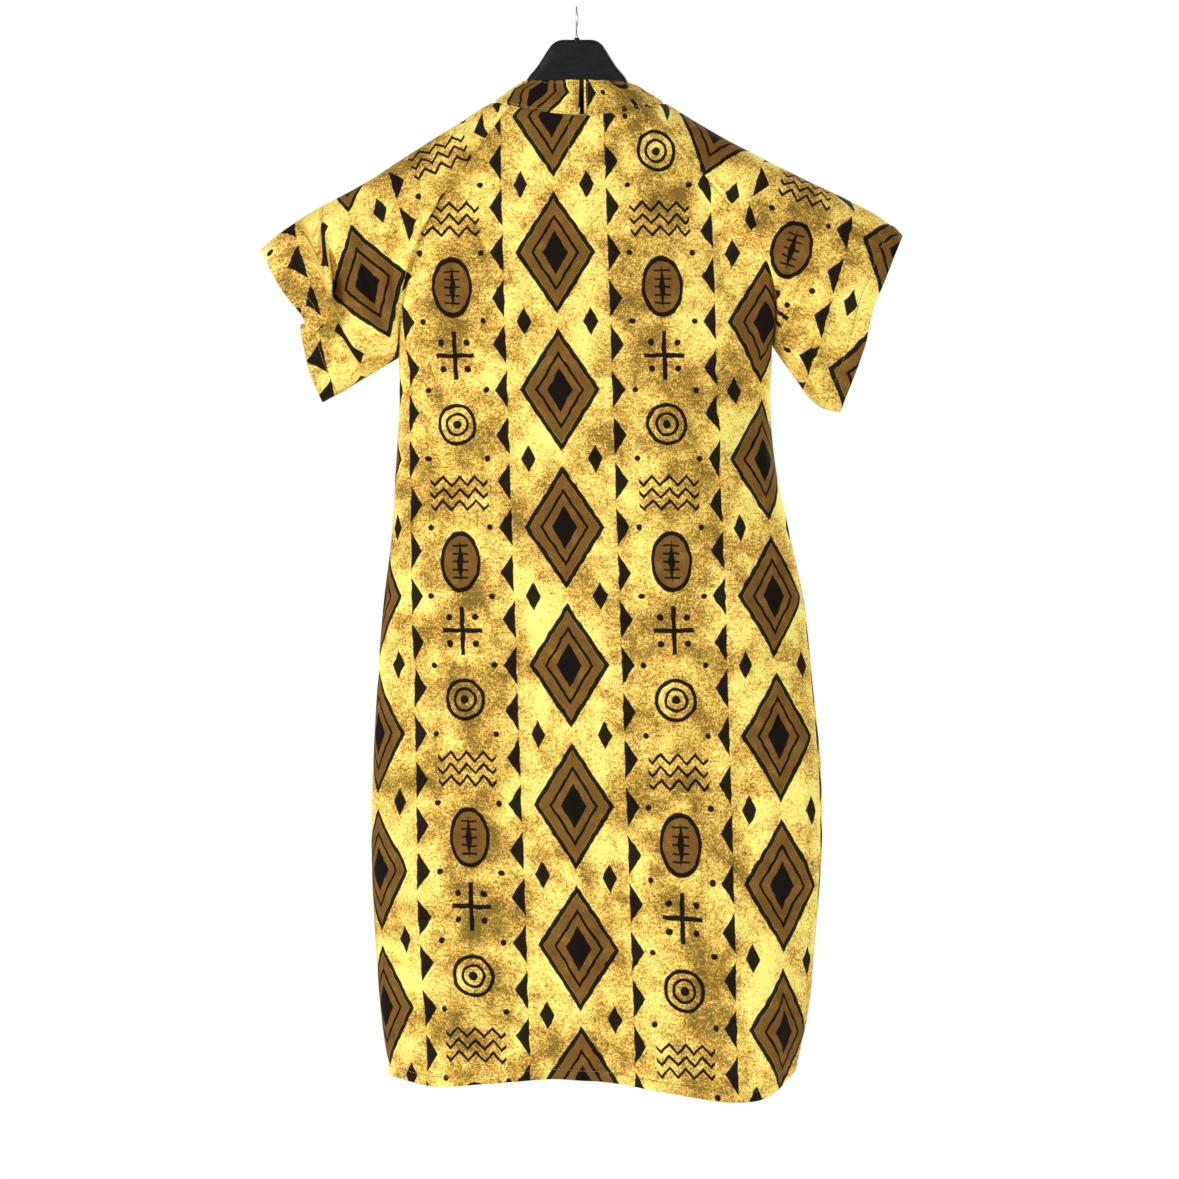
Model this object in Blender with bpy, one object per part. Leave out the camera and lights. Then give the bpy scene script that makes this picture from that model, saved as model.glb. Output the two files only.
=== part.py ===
"""A short-sleeved raglan tunic with a split stand collar, hanging on a black plastic hanger.

X runs across the garment, -Y is the side with the collar's slit, and +Z is up. The origin is the
inside top of the hanger's hook, where a rail carries it. Sizes are in millimetres, and a drop is
how far below the origin a point lies.
"""

from collections import namedtuple
import math

import bmesh
import bpy
import numpy as np

MM = 0.001
CLOTH = 2.0
SEAM_GAP = 0.3
SLIT_AT_BASE = 2.0
SLIT_AT_TOP = 3.2

# The neck, as the collar's lower and upper rings: an oval's half width and its reach to each side.
Ring = namedtuple("Ring", "middle half_width front back drop_left drop_right drop_front drop_back")
NECK_BASE = Ring(2.0, 85.0, 50.0, 46.0, 92.5, 93.5, 109.0, 97.0)
NECK_TOP = Ring(2.5, 56.0, 36.0, 22.0, 72.0, 75.5, 74.0, 72.0)
SLIT_OFFSET = 3.0
FRONT_RAGLAN_ANGLE = math.radians(56)
BACK_RAGLAN_ANGLE = math.radians(128)

# The body below the armpits: its two side seams, and how far it stands out from them.
Section = namedtuple("Section", "drop left right front back")
BODY = (
    Section(337, -178, 195, 64, 56),
    Section(400, -178, 194, 66, 58),
    Section(460, -181, 199, 69, 60),
    Section(525, -185, 212.5, 73, 63),
    Section(590, -193, 226.5, 77, 67),
    Section(670, -199, 235, 82, 72),
    Section(760, -204, 243, 86, 77),
    Section(840, -205, 244, 87, 78),
    Section(920, -202, 238, 84, 75),
    Section(1000, -196, 231, 78, 69),
    Section(1066, -187, 217, 71, 62),
)

# Points in the plane of the front, from the neck outwards.
Point = namedtuple("Point", "across drop")
SHOULDER_LEFT = (Point(-83, 92.5), Point(-120, 115), Point(-162, 142), Point(-205, 170), Point(-242, 191),
                 Point(-279, 212), Point(-305, 231), Point(-316, 241))
SHOULDER_RIGHT = (Point(87, 93.5), Point(134, 121.5), Point(190, 152), Point(229, 171), Point(270, 191),
                  Point(307, 211), Point(320, 220), Point(326, 227))
RAGLAN_LEFT = (Point(-118, 168), Point(-158, 237), Point(-175, 297), Point(-178, 349))
RAGLAN_RIGHT = (Point(122, 163), Point(164, 213), Point(189, 258), Point(198, 298), Point(195, 337))
UNDERARM_LEFT = (Point(-178, 349), Point(-215, 371), Point(-254, 394))
UNDERARM_RIGHT = (Point(195, 337), Point(206, 353), Point(219, 371), Point(232, 389), Point(247, 400),
                  Point(263, 404))
ARMHOLE_TOP_LEFT = -240
ARMHOLE_TOP_RIGHT = 258

# How far the sleeves stand out: at the raglan seams, round the armhole and at the cuff.
RAGLAN_RISE = 34.0
ARMHOLE_DEPTH = 46.0
ARMHOLE_SWELL = 18.0
CUFF_DEPTH = {"left": 36.0, "right": 37.0}
BACK_SHARE = 0.88
SHOULDER_CURVE = 0.84
SLEEVE_CURVE = 0.85
BODY_CURVE = 0.75

# The hem: share of the width from the left side seam, and the drop there.
Hem = namedtuple("Hem", "share drop")
FRONT_HEM = (Hem(0, 1066), Hem(0.10, 1074), Hem(0.25, 1071), Hem(0.40, 1066), Hem(0.52, 1069), Hem(0.65, 1077),
             Hem(0.75, 1085), Hem(0.85, 1090), Hem(0.92, 1087), Hem(0.96, 1078), Hem(1, 1062))
BACK_HEM = (Hem(0, 1066), Hem(0.25, 1064), Hem(0.5, 1060), Hem(0.75, 1066), Hem(1, 1062))

# Soft upright folds: a ridge stands out, and a trough, with its height negative, sinks in.
Fold = namedtuple("Fold", "share width height starts full")
FRONT_FOLDS = (
    Fold(0.15, 0.09, 8, 560, 1060),
    Fold(0.31, 0.07, -5, 620, 1060),
    Fold(0.46, 0.10, -9, 480, 1060),
    Fold(0.64, 0.06, 5, 640, 1060),
    Fold(0.84, 0.09, 9, 540, 1060),
    Fold(0.30, 0.12, 5, 190, 330),
    Fold(0.70, 0.12, 4, 190, 330),
)
BACK_FOLDS = (
    Fold(0.20, 0.08, 9, 480, 1060),
    Fold(0.38, 0.07, -10, 420, 1060),
    Fold(0.54, 0.07, 8, 400, 1060),
    Fold(0.70, 0.07, -9, 450, 1060),
    Fold(0.85, 0.06, 6, 560, 1060),
)

# Sleeve folds: where the crease runs, as its place along the sleeve and its share of the way down
# the side, with the lip above it, the hollow below it and how far the lip hangs over.
Crease = namedtuple("Crease", "along share")
LEFT_CREASE = (Crease(0.26, 0.26), Crease(0.33, 0.375), Crease(0.43, 0.46), Crease(0.55, 0.545), Crease(0.72, 0.58),
               Crease(1.0, 0.56))
RIGHT_CREASE = (Crease(0.0, 0.50), Crease(0.1, 0.57), Crease(0.25, 0.68), Crease(0.4, 0.78), Crease(0.55, 0.92),
                Crease(1.0, 1.25))
SleeveFold = namedtuple("SleeveFold", "line lip hollow overhang starts full")
LEFT_FOLD = SleeveFold(LEFT_CREASE, 9.0, 7.0, 0.02, 0.15, 0.60)
RIGHT_FOLD = SleeveFold(RIGHT_CREASE, 5.0, 6.0, 0.0, 0.0, 0.4)

# The left cuff's edge is drawn back where its front layer folds: share of the way down, and mm.
Recess = namedtuple("Recess", "share back")
LEFT_CUFF = (Recess(0, 0), Recess(0.13, 1), Recess(0.26, 3), Recess(0.39, 8.5), Recess(0.50, 13.5),
             Recess(0.56, 7), Recess(0.64, 1), Recess(0.74, 0.5), Recess(1, 0))
RIGHT_CUFF = (Recess(0, 0), Recess(0.3, 2), Recess(0.42, 3), Recess(0.5, 2), Recess(0.6, 0), Recess(0.7, -3),
              Recess(0.93, -3), Recess(1, 0))

# The hanger: its top edge from the middle outwards, up to where the shoulders carry the cloth.
HUMP = (Point(0, 31), Point(18, 31.2), Point(25, 35), Point(31, 44), Point(37, 55), Point(44, 66), Point(50, 74),
        Point(56, 80.5), Point(68, 88.5))
HANGER_SEAT = 0.7
ARM_REACH = 203.0
HUMP_BOTTOM = 104.0
HUMP_REACH = 90.0
ARM_HEIGHT = 25.0
HUMP_HALF_THICKNESS = 6.5
ARM_HALF_THICKNESS = 11.0
ARM_FULL_THICKNESS_AT = 150.0
ARM_SECTION = 0.85
ARM_END = 9.0
ARM_END_SHARE = 0.35

BOSS_RADIUS = 3.6
BOSS_HEIGHT = 2.4
BOSS_SINK = 3.0

# The hook: a wire that leaves the boss, bends back and runs round from one angle to another.
HOOK_WIRE = 1.3
HOOK_INSIDE = 11.0
HOOK_SOCKET_DEPTH = 14.0
HOOK_STARTS = math.radians(-62)
HOOK_ENDS = math.radians(205)
HOOK_BEND_HEIGHT = 4.5
HOOK_BEND_PULL = 3.1

# How many rows and columns the walls have.
YOKE_ROWS = 10
BODY_ROWS = 20
SLEEVE_ROWS = 12
FRONT_COLUMNS = 26
BACK_COLUMNS = 20
SLEEVE_FRONT_COLUMNS = 14
SLEEVE_BACK_COLUMNS = 8
COLLAR_ROWS = 2

# The side of each grid of points that faces out of the garment.
OUTWARD = {"front": -1, "back": 1, "sleeve_left": 1, "sleeve_right": -1, "collar": -1}
HANGER_STATIONS = 36
HANGER_SIDES = 12
HOOK_SIDES = 8


def smooth_curve(stations, values, at):
    """A smooth curve through a table's rows, with the slope at each row that of its neighbours."""
    stations = np.asarray(stations, float)
    values = np.asarray(values, float)
    at = np.clip(at, stations[0], stations[-1])
    slopes = np.gradient(values, stations)
    i = np.clip(np.searchsorted(stations, at, side="right") - 1, 0, len(stations) - 2)
    length = stations[i + 1] - stations[i]
    t = (at - stations[i]) / length
    ease = t * t * (3 - 2 * t)
    start_slope = slopes[i] * length * t * (1 - t) ** 2
    end_slope = slopes[i + 1] * length * t * t * (t - 1)
    return values[i] + (values[i + 1] - values[i]) * ease + start_slope + end_slope


def smooth_step(value):
    t = np.clip(value, 0, 1)
    return t * t * (3 - 2 * t)


def column(table, name):
    return [getattr(row, name) for row in table]


def along_points(points, share):
    """A point at a share of the length of the smooth line through points."""
    across = np.array(column(points, "across"), float)
    drop = np.array(column(points, "drop"), float)
    length = np.concatenate([[0], np.cumsum(np.hypot(np.diff(across), np.diff(drop)))])
    at = share * length[-1]
    return smooth_curve(length, across, at), smooth_curve(length, drop, at)


def ring_point(ring, angle):
    """A point of a neck ring; the angle is 0 at the front's middle and grows towards +X."""
    sine, cosine = np.sin(angle), np.cos(angle)
    facing = np.maximum(cosine, 0)
    x = ring.middle + ring.half_width * sine + SLIT_OFFSET * facing**2
    y = -np.where(cosine > 0, ring.front, ring.back) * cosine
    side = ring.drop_left + (ring.drop_right - ring.drop_left) * (sine + 1) / 2
    end = np.where(cosine > 0, ring.drop_front, ring.drop_back)
    drop = side + (end - side) * cosine**2
    return np.stack([x, y, -drop], axis=-1)


def yoke_shares():
    """Shares of the raglan seam's length, closer together near the armpit."""
    return 1 - (1 - np.linspace(0, 1, YOKE_ROWS + 1)) ** 1.45


def side_angle(side, angle):
    return angle if side == "right" else -angle


def raglan_line(side, angle, share):
    """The raglan seam in the plane of the front, from the neck's ring to the armpit."""
    start = ring_point(NECK_BASE, np.array(side_angle(side, angle)))
    points = (Point(start[0], -start[2]),) + (RAGLAN_LEFT if side == "left" else RAGLAN_RIGHT)
    return along_points(points, share)


def armpit_fall(share):
    """How the front and back come together at the armpit: 1 high up on the seam, 0 at its end."""
    return np.sqrt(np.maximum(0, 1 - share**2.6))


def seam_depth(share, layer):
    """How far the raglan seam stands out from the plane of the shoulders."""
    ring_depth = NECK_BASE.front if layer == "front" else NECK_BASE.back
    angle = FRONT_RAGLAN_ANGLE if layer == "front" else BACK_RAGLAN_ANGLE
    start = ring_depth * abs(math.cos(angle))
    rise = RAGLAN_RISE * (1 if layer == "front" else BACK_SHARE)
    return (start + rise * share) * armpit_fall(share)


def fold_height(folds, share, drop):
    """What the soft upright folds add at a share of the width and a drop."""
    total = 0.0
    for fold in folds:
        grown = smooth_step((drop - fold.starts) / (fold.full - fold.starts))
        faded = 1 if fold.full > 1000 else 1 - smooth_step((drop - fold.full) / 160)
        total = total + fold.height * grown * faded * np.exp(-(((share - fold.share) / fold.width) ** 2))
    return total


def panel_grid(layer):
    """The front or back as rows of points, from the neckline to the hem and from left to right."""
    front = layer == "front"
    outward = -1 if front else 1
    columns = FRONT_COLUMNS if front else BACK_COLUMNS
    neck_angle = FRONT_RAGLAN_ANGLE if front else math.pi - BACK_RAGLAN_ANGLE
    raglan_angle = FRONT_RAGLAN_ANGLE if front else BACK_RAGLAN_ANGLE
    folds = FRONT_FOLDS if front else BACK_FOLDS
    hem = FRONT_HEM if front else BACK_HEM
    across = np.linspace(-1, 1, columns + 1)
    neck_angles = across * neck_angle if front else math.pi - across * neck_angle
    neckline = ring_point(NECK_BASE, neck_angles)
    neck_depth = NECK_BASE.front if front else NECK_BASE.back
    neck_middle_drop = NECK_BASE.drop_front if front else NECK_BASE.drop_back
    drops = column(BODY, "drop")
    chest = getattr(BODY[0], layer)

    def yoke_row(share):
        left = raglan_line("left", raglan_angle, share)
        right = raglan_line("right", raglan_angle, share)
        spread = neck_angle + (math.pi / 2 - neck_angle) * smooth_step(share)
        sine = np.sin(across * spread) / math.sin(spread)
        facing = np.cos(across * spread) ** 2 - math.cos(spread) ** 2
        x = left[0] + (right[0] - left[0]) * (1 + sine) / 2
        if front:
            x = x + SLIT_OFFSET * (1 - share) * facing
        sag = (neck_middle_drop - (left[1] + right[1]) / 2) * max(0, 1 - 2 * share) if share < 0.5 else 0.0
        drop = left[1] + (right[1] - left[1]) * (1 + sine) / 2 + sag * facing / math.sin(spread) ** 2
        bulge = (np.cos(across * spread) - math.cos(spread)) / (1 - math.cos(spread))
        bulge = np.maximum(bulge, 0) ** (1 + (BODY_CURVE - 1) * share)
        edge = seam_depth(share, layer)
        middle = neck_depth + (chest - neck_depth) * smooth_step(share)
        depth = middle * bulge + edge * (1 - bulge) ** (1 + share)
        depth = depth + fold_height(folds, (1 + sine) / 2, drop) * bulge
        return np.stack([x, outward * depth, -drop], axis=-1)

    def body_row(share):
        sine = np.sin(across * math.pi / 2)
        place = (1 + sine) / 2
        armpit = RAGLAN_LEFT[-1].drop + (RAGLAN_RIGHT[-1].drop - RAGLAN_LEFT[-1].drop) * place
        hem_drop = smooth_curve(column(hem, "share"), column(hem, "drop"), place)
        drop = armpit + (hem_drop - armpit) * share
        left = smooth_curve(drops, column(BODY, "left"), drop[0])
        right = smooth_curve(drops, column(BODY, "right"), drop[-1])
        reach = smooth_curve(drops, column(BODY, layer), drop)
        round_off = np.maximum(np.cos(across * math.pi / 2), 0) ** BODY_CURVE
        depth = (reach + fold_height(folds, place, drop)) * round_off
        return np.stack([left + (right - left) * place, outward * depth, -drop], axis=-1)

    rows = [yoke_row(share) for share in yoke_shares()]
    correction = neckline - rows[0]
    rows = [row + correction * (1 - share) ** 4 for row, share in zip(rows, yoke_shares())]
    rows += [body_row(share) for share in np.linspace(0, 1, BODY_ROWS + 1)[1:]]
    return np.array(rows)


def sleeve_fold(fold, along, share):
    """How far a sleeve's fold moves a point outwards and down its side."""
    line = smooth_curve(column(fold.line, "along"), column(fold.line, "share"), along)
    grown = smooth_step((along - fold.starts) / (fold.full - fold.starts))
    from_line = share - line
    lip = fold.lip * np.exp(-(((from_line + 0.10) / 0.10) ** 2))
    hollow = fold.hollow * np.exp(-(((from_line - 0.07) / 0.08) ** 2))
    slide = fold.overhang * np.exp(-(((from_line + 0.03) / 0.065) ** 2))
    return (lip - hollow) * grown, slide * grown


def sleeve_grid(side):
    """A sleeve as rows from the neck to the cuff, each from the front seam over the top to the back."""
    shoulder = SHOULDER_LEFT if side == "left" else SHOULDER_RIGHT
    underarm = UNDERARM_LEFT if side == "left" else UNDERARM_RIGHT
    armhole_top = ARMHOLE_TOP_LEFT if side == "left" else ARMHOLE_TOP_RIGHT
    fold = LEFT_FOLD if side == "left" else RIGHT_FOLD
    cuff = LEFT_CUFF if side == "left" else RIGHT_CUFF
    reach = np.array(column(shoulder, "across"), float) * (1 if side == "right" else -1)
    top_drop = column(shoulder, "drop")
    sleeve_length = abs(shoulder[-1].across - armhole_top)
    arm_direction = unit(np.array(underarm[1], float) - np.array(underarm[0], float))
    layers = {"front": (SLEEVE_FRONT_COLUMNS, -1, 1.0), "back": (SLEEVE_BACK_COLUMNS, 1, BACK_SHARE)}

    def top_point(across):
        return across, smooth_curve(reach, top_drop, np.abs(across))

    def half_row(layer, share, along):
        """Half of a row, from its lower edge to the top of the sleeve."""
        columns, outward, depth_share = layers[layer]
        turn = np.linspace(math.pi, 0, columns + 1)
        down = (1 - np.cos(turn)) / 2
        if along <= 0:
            top = top_point(shoulder[0].across + (armhole_top - shoulder[0].across) * share)
            raglan_angle = FRONT_RAGLAN_ANGLE if layer == "front" else BACK_RAGLAN_ANGLE
            low = raglan_line(side, raglan_angle, share)
            arch = seam_depth(share, layer) * np.sin(turn / 2) ** SHOULDER_CURVE
            closed = ARMHOLE_DEPTH * depth_share * (1 - armpit_fall(share)) * np.sin(turn) ** SLEEVE_CURVE
            depth = arch + closed
        else:
            recess = smooth_curve(column(cuff, "share"), column(cuff, "back"), down)
            place = along * (1 - along * recess / sleeve_length)
            out, slide = sleeve_fold(fold, place, down) if layer == "front" else (0.0, 0.0)
            top = top_point(armhole_top + (shoulder[-1].across - armhole_top) * place)
            low = along_points(underarm, place)
            depth = ARMHOLE_DEPTH + (CUFF_DEPTH[side] - ARMHOLE_DEPTH) * smooth_step(place)
            rounded = np.maximum(np.sin(turn), 0)
            depth = depth * depth_share * rounded**SLEEVE_CURVE + out * rounded
            down = down + slide * rounded
        swell = ARMHOLE_SWELL * np.sin(turn) * (share**8 * (1 - along) ** 2)
        x = top[0] + (low[0] - top[0]) * down + swell * arm_direction[0]
        drop = top[1] + (low[1] - top[1]) * down + swell * arm_direction[1]
        return np.stack([x, outward * depth, -drop], axis=-1)

    def whole_row(share, along):
        front = half_row("front", share, along)
        back = half_row("back", share, along)
        return np.concatenate([front, back[::-1][1:]])

    rows = [whole_row(share, 0) for share in yoke_shares()]
    front_angles = np.linspace(FRONT_RAGLAN_ANGLE, math.pi / 2, SLEEVE_FRONT_COLUMNS + 1)
    back_angles = np.linspace(math.pi / 2, BACK_RAGLAN_ANGLE, SLEEVE_BACK_COLUMNS + 1)
    angles = side_angle(side, np.concatenate([front_angles, back_angles[1:]]))
    correction = ring_point(NECK_BASE, angles) - rows[0]
    rows = [row + correction * (1 - share) ** 4 for row, share in zip(rows, yoke_shares())]
    rows += [whole_row(1, along) for along in np.linspace(0, 1, SLEEVE_ROWS + 1)[1:]]
    return np.array(rows)


def collar_grid():
    """The collar as rows from its upper edge down to the neckline, from the slit round to the slit."""
    half = np.linspace(0, 1, FRONT_COLUMNS // 2 + 1)
    front = half * FRONT_RAGLAN_ANGLE
    over = np.linspace(FRONT_RAGLAN_ANGLE, math.pi / 2, SLEEVE_FRONT_COLUMNS + 1)[1:]
    behind = np.linspace(math.pi / 2, BACK_RAGLAN_ANGLE, SLEEVE_BACK_COLUMNS + 1)[1:]
    back = np.linspace(BACK_RAGLAN_ANGLE, math.pi, BACK_COLUMNS // 2 + 1)[1:]
    right = np.concatenate([front, over, behind, back])
    angles = np.concatenate([right, 2 * math.pi - right[::-1][1:]])
    base, top = ring_point(NECK_BASE, angles), ring_point(NECK_TOP, angles)
    shares = np.linspace(0, 1, COLLAR_ROWS + 1)
    return np.array([top + (base - top) * share for share in shares])


def unit(vectors):
    return vectors / np.maximum(np.linalg.norm(vectors, axis=-1, keepdims=True), 1e-9)


def corner_normals(grid):
    """Each point's direction, as the sum over the squares round it, by the angle each one fills."""
    square = [grid[:-1, :-1], grid[:-1, 1:], grid[1:, 1:], grid[1:, :-1]]
    places = [(slice(0, -1), slice(0, -1)), (slice(0, -1), slice(1, None)), (slice(1, None), slice(1, None)),
              (slice(1, None), slice(0, -1))]
    total = np.zeros_like(grid)
    for corner, place in enumerate(places):
        onward = square[(corner + 1) % 4] - square[corner]
        backward = square[corner - 1] - square[corner]
        across = np.cross(onward, backward)
        angle = np.arctan2(np.linalg.norm(across, axis=-1), (onward * backward).sum(axis=-1))
        total[place] += unit(across) * angle[..., None]
    return total


def garment():
    """Every cloth piece's outer points, and the directions its wall goes in from.

    Points that meet at a seam get one direction, so that the walls' edges there are parallel.
    """
    grids = {
        "front": panel_grid("front"),
        "back": panel_grid("back"),
        "sleeve_left": sleeve_grid("left"),
        "sleeve_right": sleeve_grid("right"),
        "collar": collar_grid(),
    }
    normals = {name: corner_normals(grid) * OUTWARD[name] for name, grid in grids.items()}
    meeting = {}
    for name, grid in grids.items():
        for place in np.ndindex(grid.shape[:2]):
            spot = tuple(np.round(grid[place], 2) + 0.0)
            meeting[spot] = meeting.get(spot, 0) + normals[name][place]
    for name, grid in grids.items():
        for place in np.ndindex(grid.shape[:2]):
            normals[name][place] = meeting[tuple(np.round(grid[place], 2) + 0.0)]
    return grids, {name: unit(normal) for name, normal in normals.items()}


def into_piece(edge, following, normals):
    """How far an edge's points move for each mm of gap, square to the lines on both sides of them."""
    lines = unit(np.diff(edge, axis=0))
    square = unit(np.cross((normals[1:] + normals[:-1]) / 2, lines))
    square *= np.sign((square * (following - edge)[1:]).sum())
    before = np.concatenate([square[:1], square])
    after = np.concatenate([square, square[-1:]])
    turn = (before * after).sum(axis=-1, keepdims=True)
    return (before + after) / np.maximum(1 + turn, 0.4)


def open_seams(name, grid, normals):
    """Draws a piece's edges back by half a seam's gap, and the collar's ends by half its slit."""
    moved = grid.copy()
    half = SEAM_GAP / 2
    if name == "collar":
        moved[-1] += into_piece(grid[-1], grid[-2], normals[-1]) * half
        slit = np.linspace(SLIT_AT_TOP, SLIT_AT_BASE, len(grid))[:, None] / 2
        moved[:, 0] += unit(grid[:, 1] - grid[:, 0]) * slit
        moved[:, -1] += unit(grid[:, -2] - grid[:, -1]) * slit
        return moved
    moved[0] += into_piece(grid[0], grid[1], normals[0]) * half
    for edge, following in ((0, 1), (-1, -2)):
        moved[:, edge] += into_piece(grid[:, edge], grid[:, following], normals[:, edge]) * half
    return moved


def make_material(name, colour, roughness, metallic=0.0):
    material = bpy.data.materials.new(name)
    material.use_nodes = True
    shader = material.node_tree.nodes["Principled BSDF"]
    shader.inputs["Base Color"].default_value = (*colour, 1.0)
    shader.inputs["Roughness"].default_value = roughness
    shader.inputs["Metallic"].default_value = metallic
    return material


def add_object(name, vertices, faces, material, smooth_angle=40):
    mesh = bpy.data.meshes.new(name)
    mesh.from_pydata([tuple(point) for point in np.asarray(vertices) * MM], [], faces)
    mesh.update()
    work = bmesh.new()
    work.from_mesh(mesh)
    bmesh.ops.recalc_face_normals(work, faces=work.faces)
    work.to_mesh(mesh)
    work.free()
    mesh.shade_smooth()
    mesh.set_sharp_from_angle(angle=math.radians(smooth_angle))
    mesh.materials.append(material)
    made = bpy.data.objects.new(name, mesh)
    bpy.context.scene.collection.objects.link(made)
    return made


def split_square(square, points):
    """Two triangles that meet along a square's shorter diagonal."""
    first, second, third, fourth = (points[corner] for corner in square)
    if np.linalg.norm(second - fourth) < np.linalg.norm(first - third):
        square = square[1:] + square[:1]
    return [square[:3], [square[0], square[2], square[3]]]


def wall(name, outer, normals, material):
    """A cloth wall between a grid of outer points and the same points moved in by its thickness."""
    rows, columns = outer.shape[:2]
    count = rows * columns
    points = np.concatenate([outer.reshape(-1, 3), (outer - normals * CLOTH).reshape(-1, 3)])
    number = np.arange(count).reshape(rows, columns)
    faces = []
    for row in range(rows - 1):
        for place in range(columns - 1):
            square = [number[row, place], number[row, place + 1], number[row + 1, place + 1], number[row + 1, place]]
            for triangle in split_square(square, points):
                faces.append(triangle)
                faces.append([corner + count for corner in reversed(triangle)])
    rim = list(number[0, :-1]) + list(number[:-1, -1]) + list(number[-1, :0:-1]) + list(number[:0:-1, 0])
    for here, there in zip(rim, rim[1:] + rim[:1]):
        faces += split_square([there, here, here + count, there + count], points)
    return add_object(name, points, faces, material)


def tube(path, radius, sides):
    """The rings of a round bar that follows a path in the plane across the garment."""
    rings = []
    tangents = unit(np.gradient(path, axis=0))
    for point, tangent in zip(path, tangents):
        side = np.array([1.0, 0.0, 0.0])
        up = np.cross(tangent, side)
        turn = np.linspace(0, 2 * math.pi, sides, endpoint=False)[:, None]
        rings.append(point + radius * (np.cos(turn) * side + np.sin(turn) * up))
    return np.array(rings)


def loft_faces(rings, sides):
    """Faces between closed rings, with a flat end at each side."""
    faces = []
    for ring in range(rings - 1):
        for side in range(sides):
            following = (side + 1) % sides
            low, high = ring * sides, (ring + 1) * sides
            faces.append([low + side, low + following, high + following, high + side])
    faces.append(list(reversed(range(sides))))
    faces.append([(rings - 1) * sides + side for side in range(sides)])
    return faces


def hanger_top(across):
    """The drop of the hanger's top edge: the hump, then just inside the cloth's shoulder."""
    shoulder = SHOULDER_LEFT if across < 0 else SHOULDER_RIGHT
    reach = abs(across)
    start, end = abs(shoulder[0].across), ARM_REACH
    last = smooth_curve([abs(p.across) for p in shoulder], column(shoulder, "drop"), end)
    slope = (last - shoulder[0].drop) / (end - start)
    under_cloth = (CLOTH + HANGER_SEAT) * math.hypot(1, slope)
    if reach >= start:
        return smooth_curve([abs(p.across) for p in shoulder], column(shoulder, "drop"), reach) + under_cloth
    points = HUMP + (Point(start, shoulder[0].drop + under_cloth),)
    return smooth_curve(column(points, "across"), column(points, "drop"), reach)


def make_hanger(material):
    """A broad plastic hanger: a hump at the neck and an arm along each shoulder."""
    half = np.sin(np.linspace(0, math.pi / 2, HANGER_STATIONS // 2 + 1)) * ARM_REACH
    stations = np.concatenate([-half[::-1], half[1:]])
    turn = np.linspace(0, 2 * math.pi, HANGER_SIDES, endpoint=False)
    side = np.sign(np.sin(turn)) * np.abs(np.sin(turn)) ** ARM_SECTION
    share = (1 - np.cos(turn)) / 2
    rings = []
    for across in stations:
        reach = abs(across)
        arm_share = smooth_step(reach / HUMP_REACH)
        height = (HUMP_BOTTOM - HUMP[0].drop) * (1 - arm_share) + ARM_HEIGHT * arm_share
        thicker = smooth_step(reach / ARM_FULL_THICKNESS_AT)
        thickness = HUMP_HALF_THICKNESS + (ARM_HALF_THICKNESS - HUMP_HALF_THICKNESS) * thicker
        from_end = np.clip((ARM_REACH - reach) / ARM_END, 0, 1)
        rounded = ARM_END_SHARE + (1 - ARM_END_SHARE) * math.sqrt(1 - (1 - from_end) ** 2)
        drop = hanger_top(across) + height * ((1 - rounded) / 4 + rounded * share)
        rings.append(np.stack([np.full(HANGER_SIDES, across), thickness * rounded * side, -drop], axis=-1))
    rings = np.array(rings)
    faces = loft_faces(len(rings), HANGER_SIDES)
    hanger = add_object("hanger", rings.reshape(-1, 3), faces, material)
    add_boss(hanger)
    return hanger


def add_boss(hanger):
    """Joins the round boss that the hook comes out of, and sinks the hook's socket into it."""
    hump = -HUMP[0].drop
    boss_top = hump + BOSS_HEIGHT
    for name, radius, low, high, operation in (
        ("boss", BOSS_RADIUS, hump - BOSS_SINK, boss_top, "UNION"),
        ("hook_socket", HOOK_WIRE + SEAM_GAP, hump - HOOK_SOCKET_DEPTH, boss_top + BOSS_SINK, "DIFFERENCE"),
    ):
        bpy.ops.mesh.primitive_cylinder_add(
            vertices=16, radius=radius * MM, depth=(high - low) * MM, location=(0, 0, (high + low) / 2 * MM)
        )
        cutter = bpy.context.object
        cutter.name = name
        cutter.hide_render = True
        cutter.display_type = "WIRE"
        modifier = hanger.modifiers.new(name, "BOOLEAN")
        modifier.operation = operation
        modifier.object = cutter
        modifier.solver = "EXACT"


def hook_path():
    """The hook's middle line, turned edge-on to the front: a stem, a bend to the back and a round."""
    radius = HOOK_INSIDE + HOOK_WIRE
    low = -HUMP[0].drop - HOOK_SOCKET_DEPTH + SEAM_GAP
    stem_top = -2 * radius - HOOK_BEND_HEIGHT
    stem = np.array([(0, 0, z) for z in np.linspace(low, stem_top, 6)])
    turn = np.linspace(HOOK_STARTS, HOOK_ENDS, 26)
    arc = np.array([(0, radius * math.cos(a), -HOOK_INSIDE + radius * math.sin(a)) for a in turn])
    leaving = np.array([0, 0, HOOK_BEND_PULL])
    joining = HOOK_BEND_PULL * np.array([0, math.sin(HOOK_STARTS), -math.cos(HOOK_STARTS)])
    first, second, third, last = stem[-1], stem[-1] + leaving, arc[0] + joining, arc[0]
    bend = [
        (1 - t) ** 3 * first + 3 * (1 - t) ** 2 * t * second + 3 * (1 - t) * t**2 * third + t**3 * last
        for t in np.linspace(0, 1, 6)[1:-1]
    ]
    return np.concatenate([stem, bend, arc])


def make_hook(material):
    rings = tube(hook_path(), HOOK_WIRE, HOOK_SIDES)
    return add_object("hook", rings.reshape(-1, 3), loft_faces(len(rings), HOOK_SIDES), material, smooth_angle=60)


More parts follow.
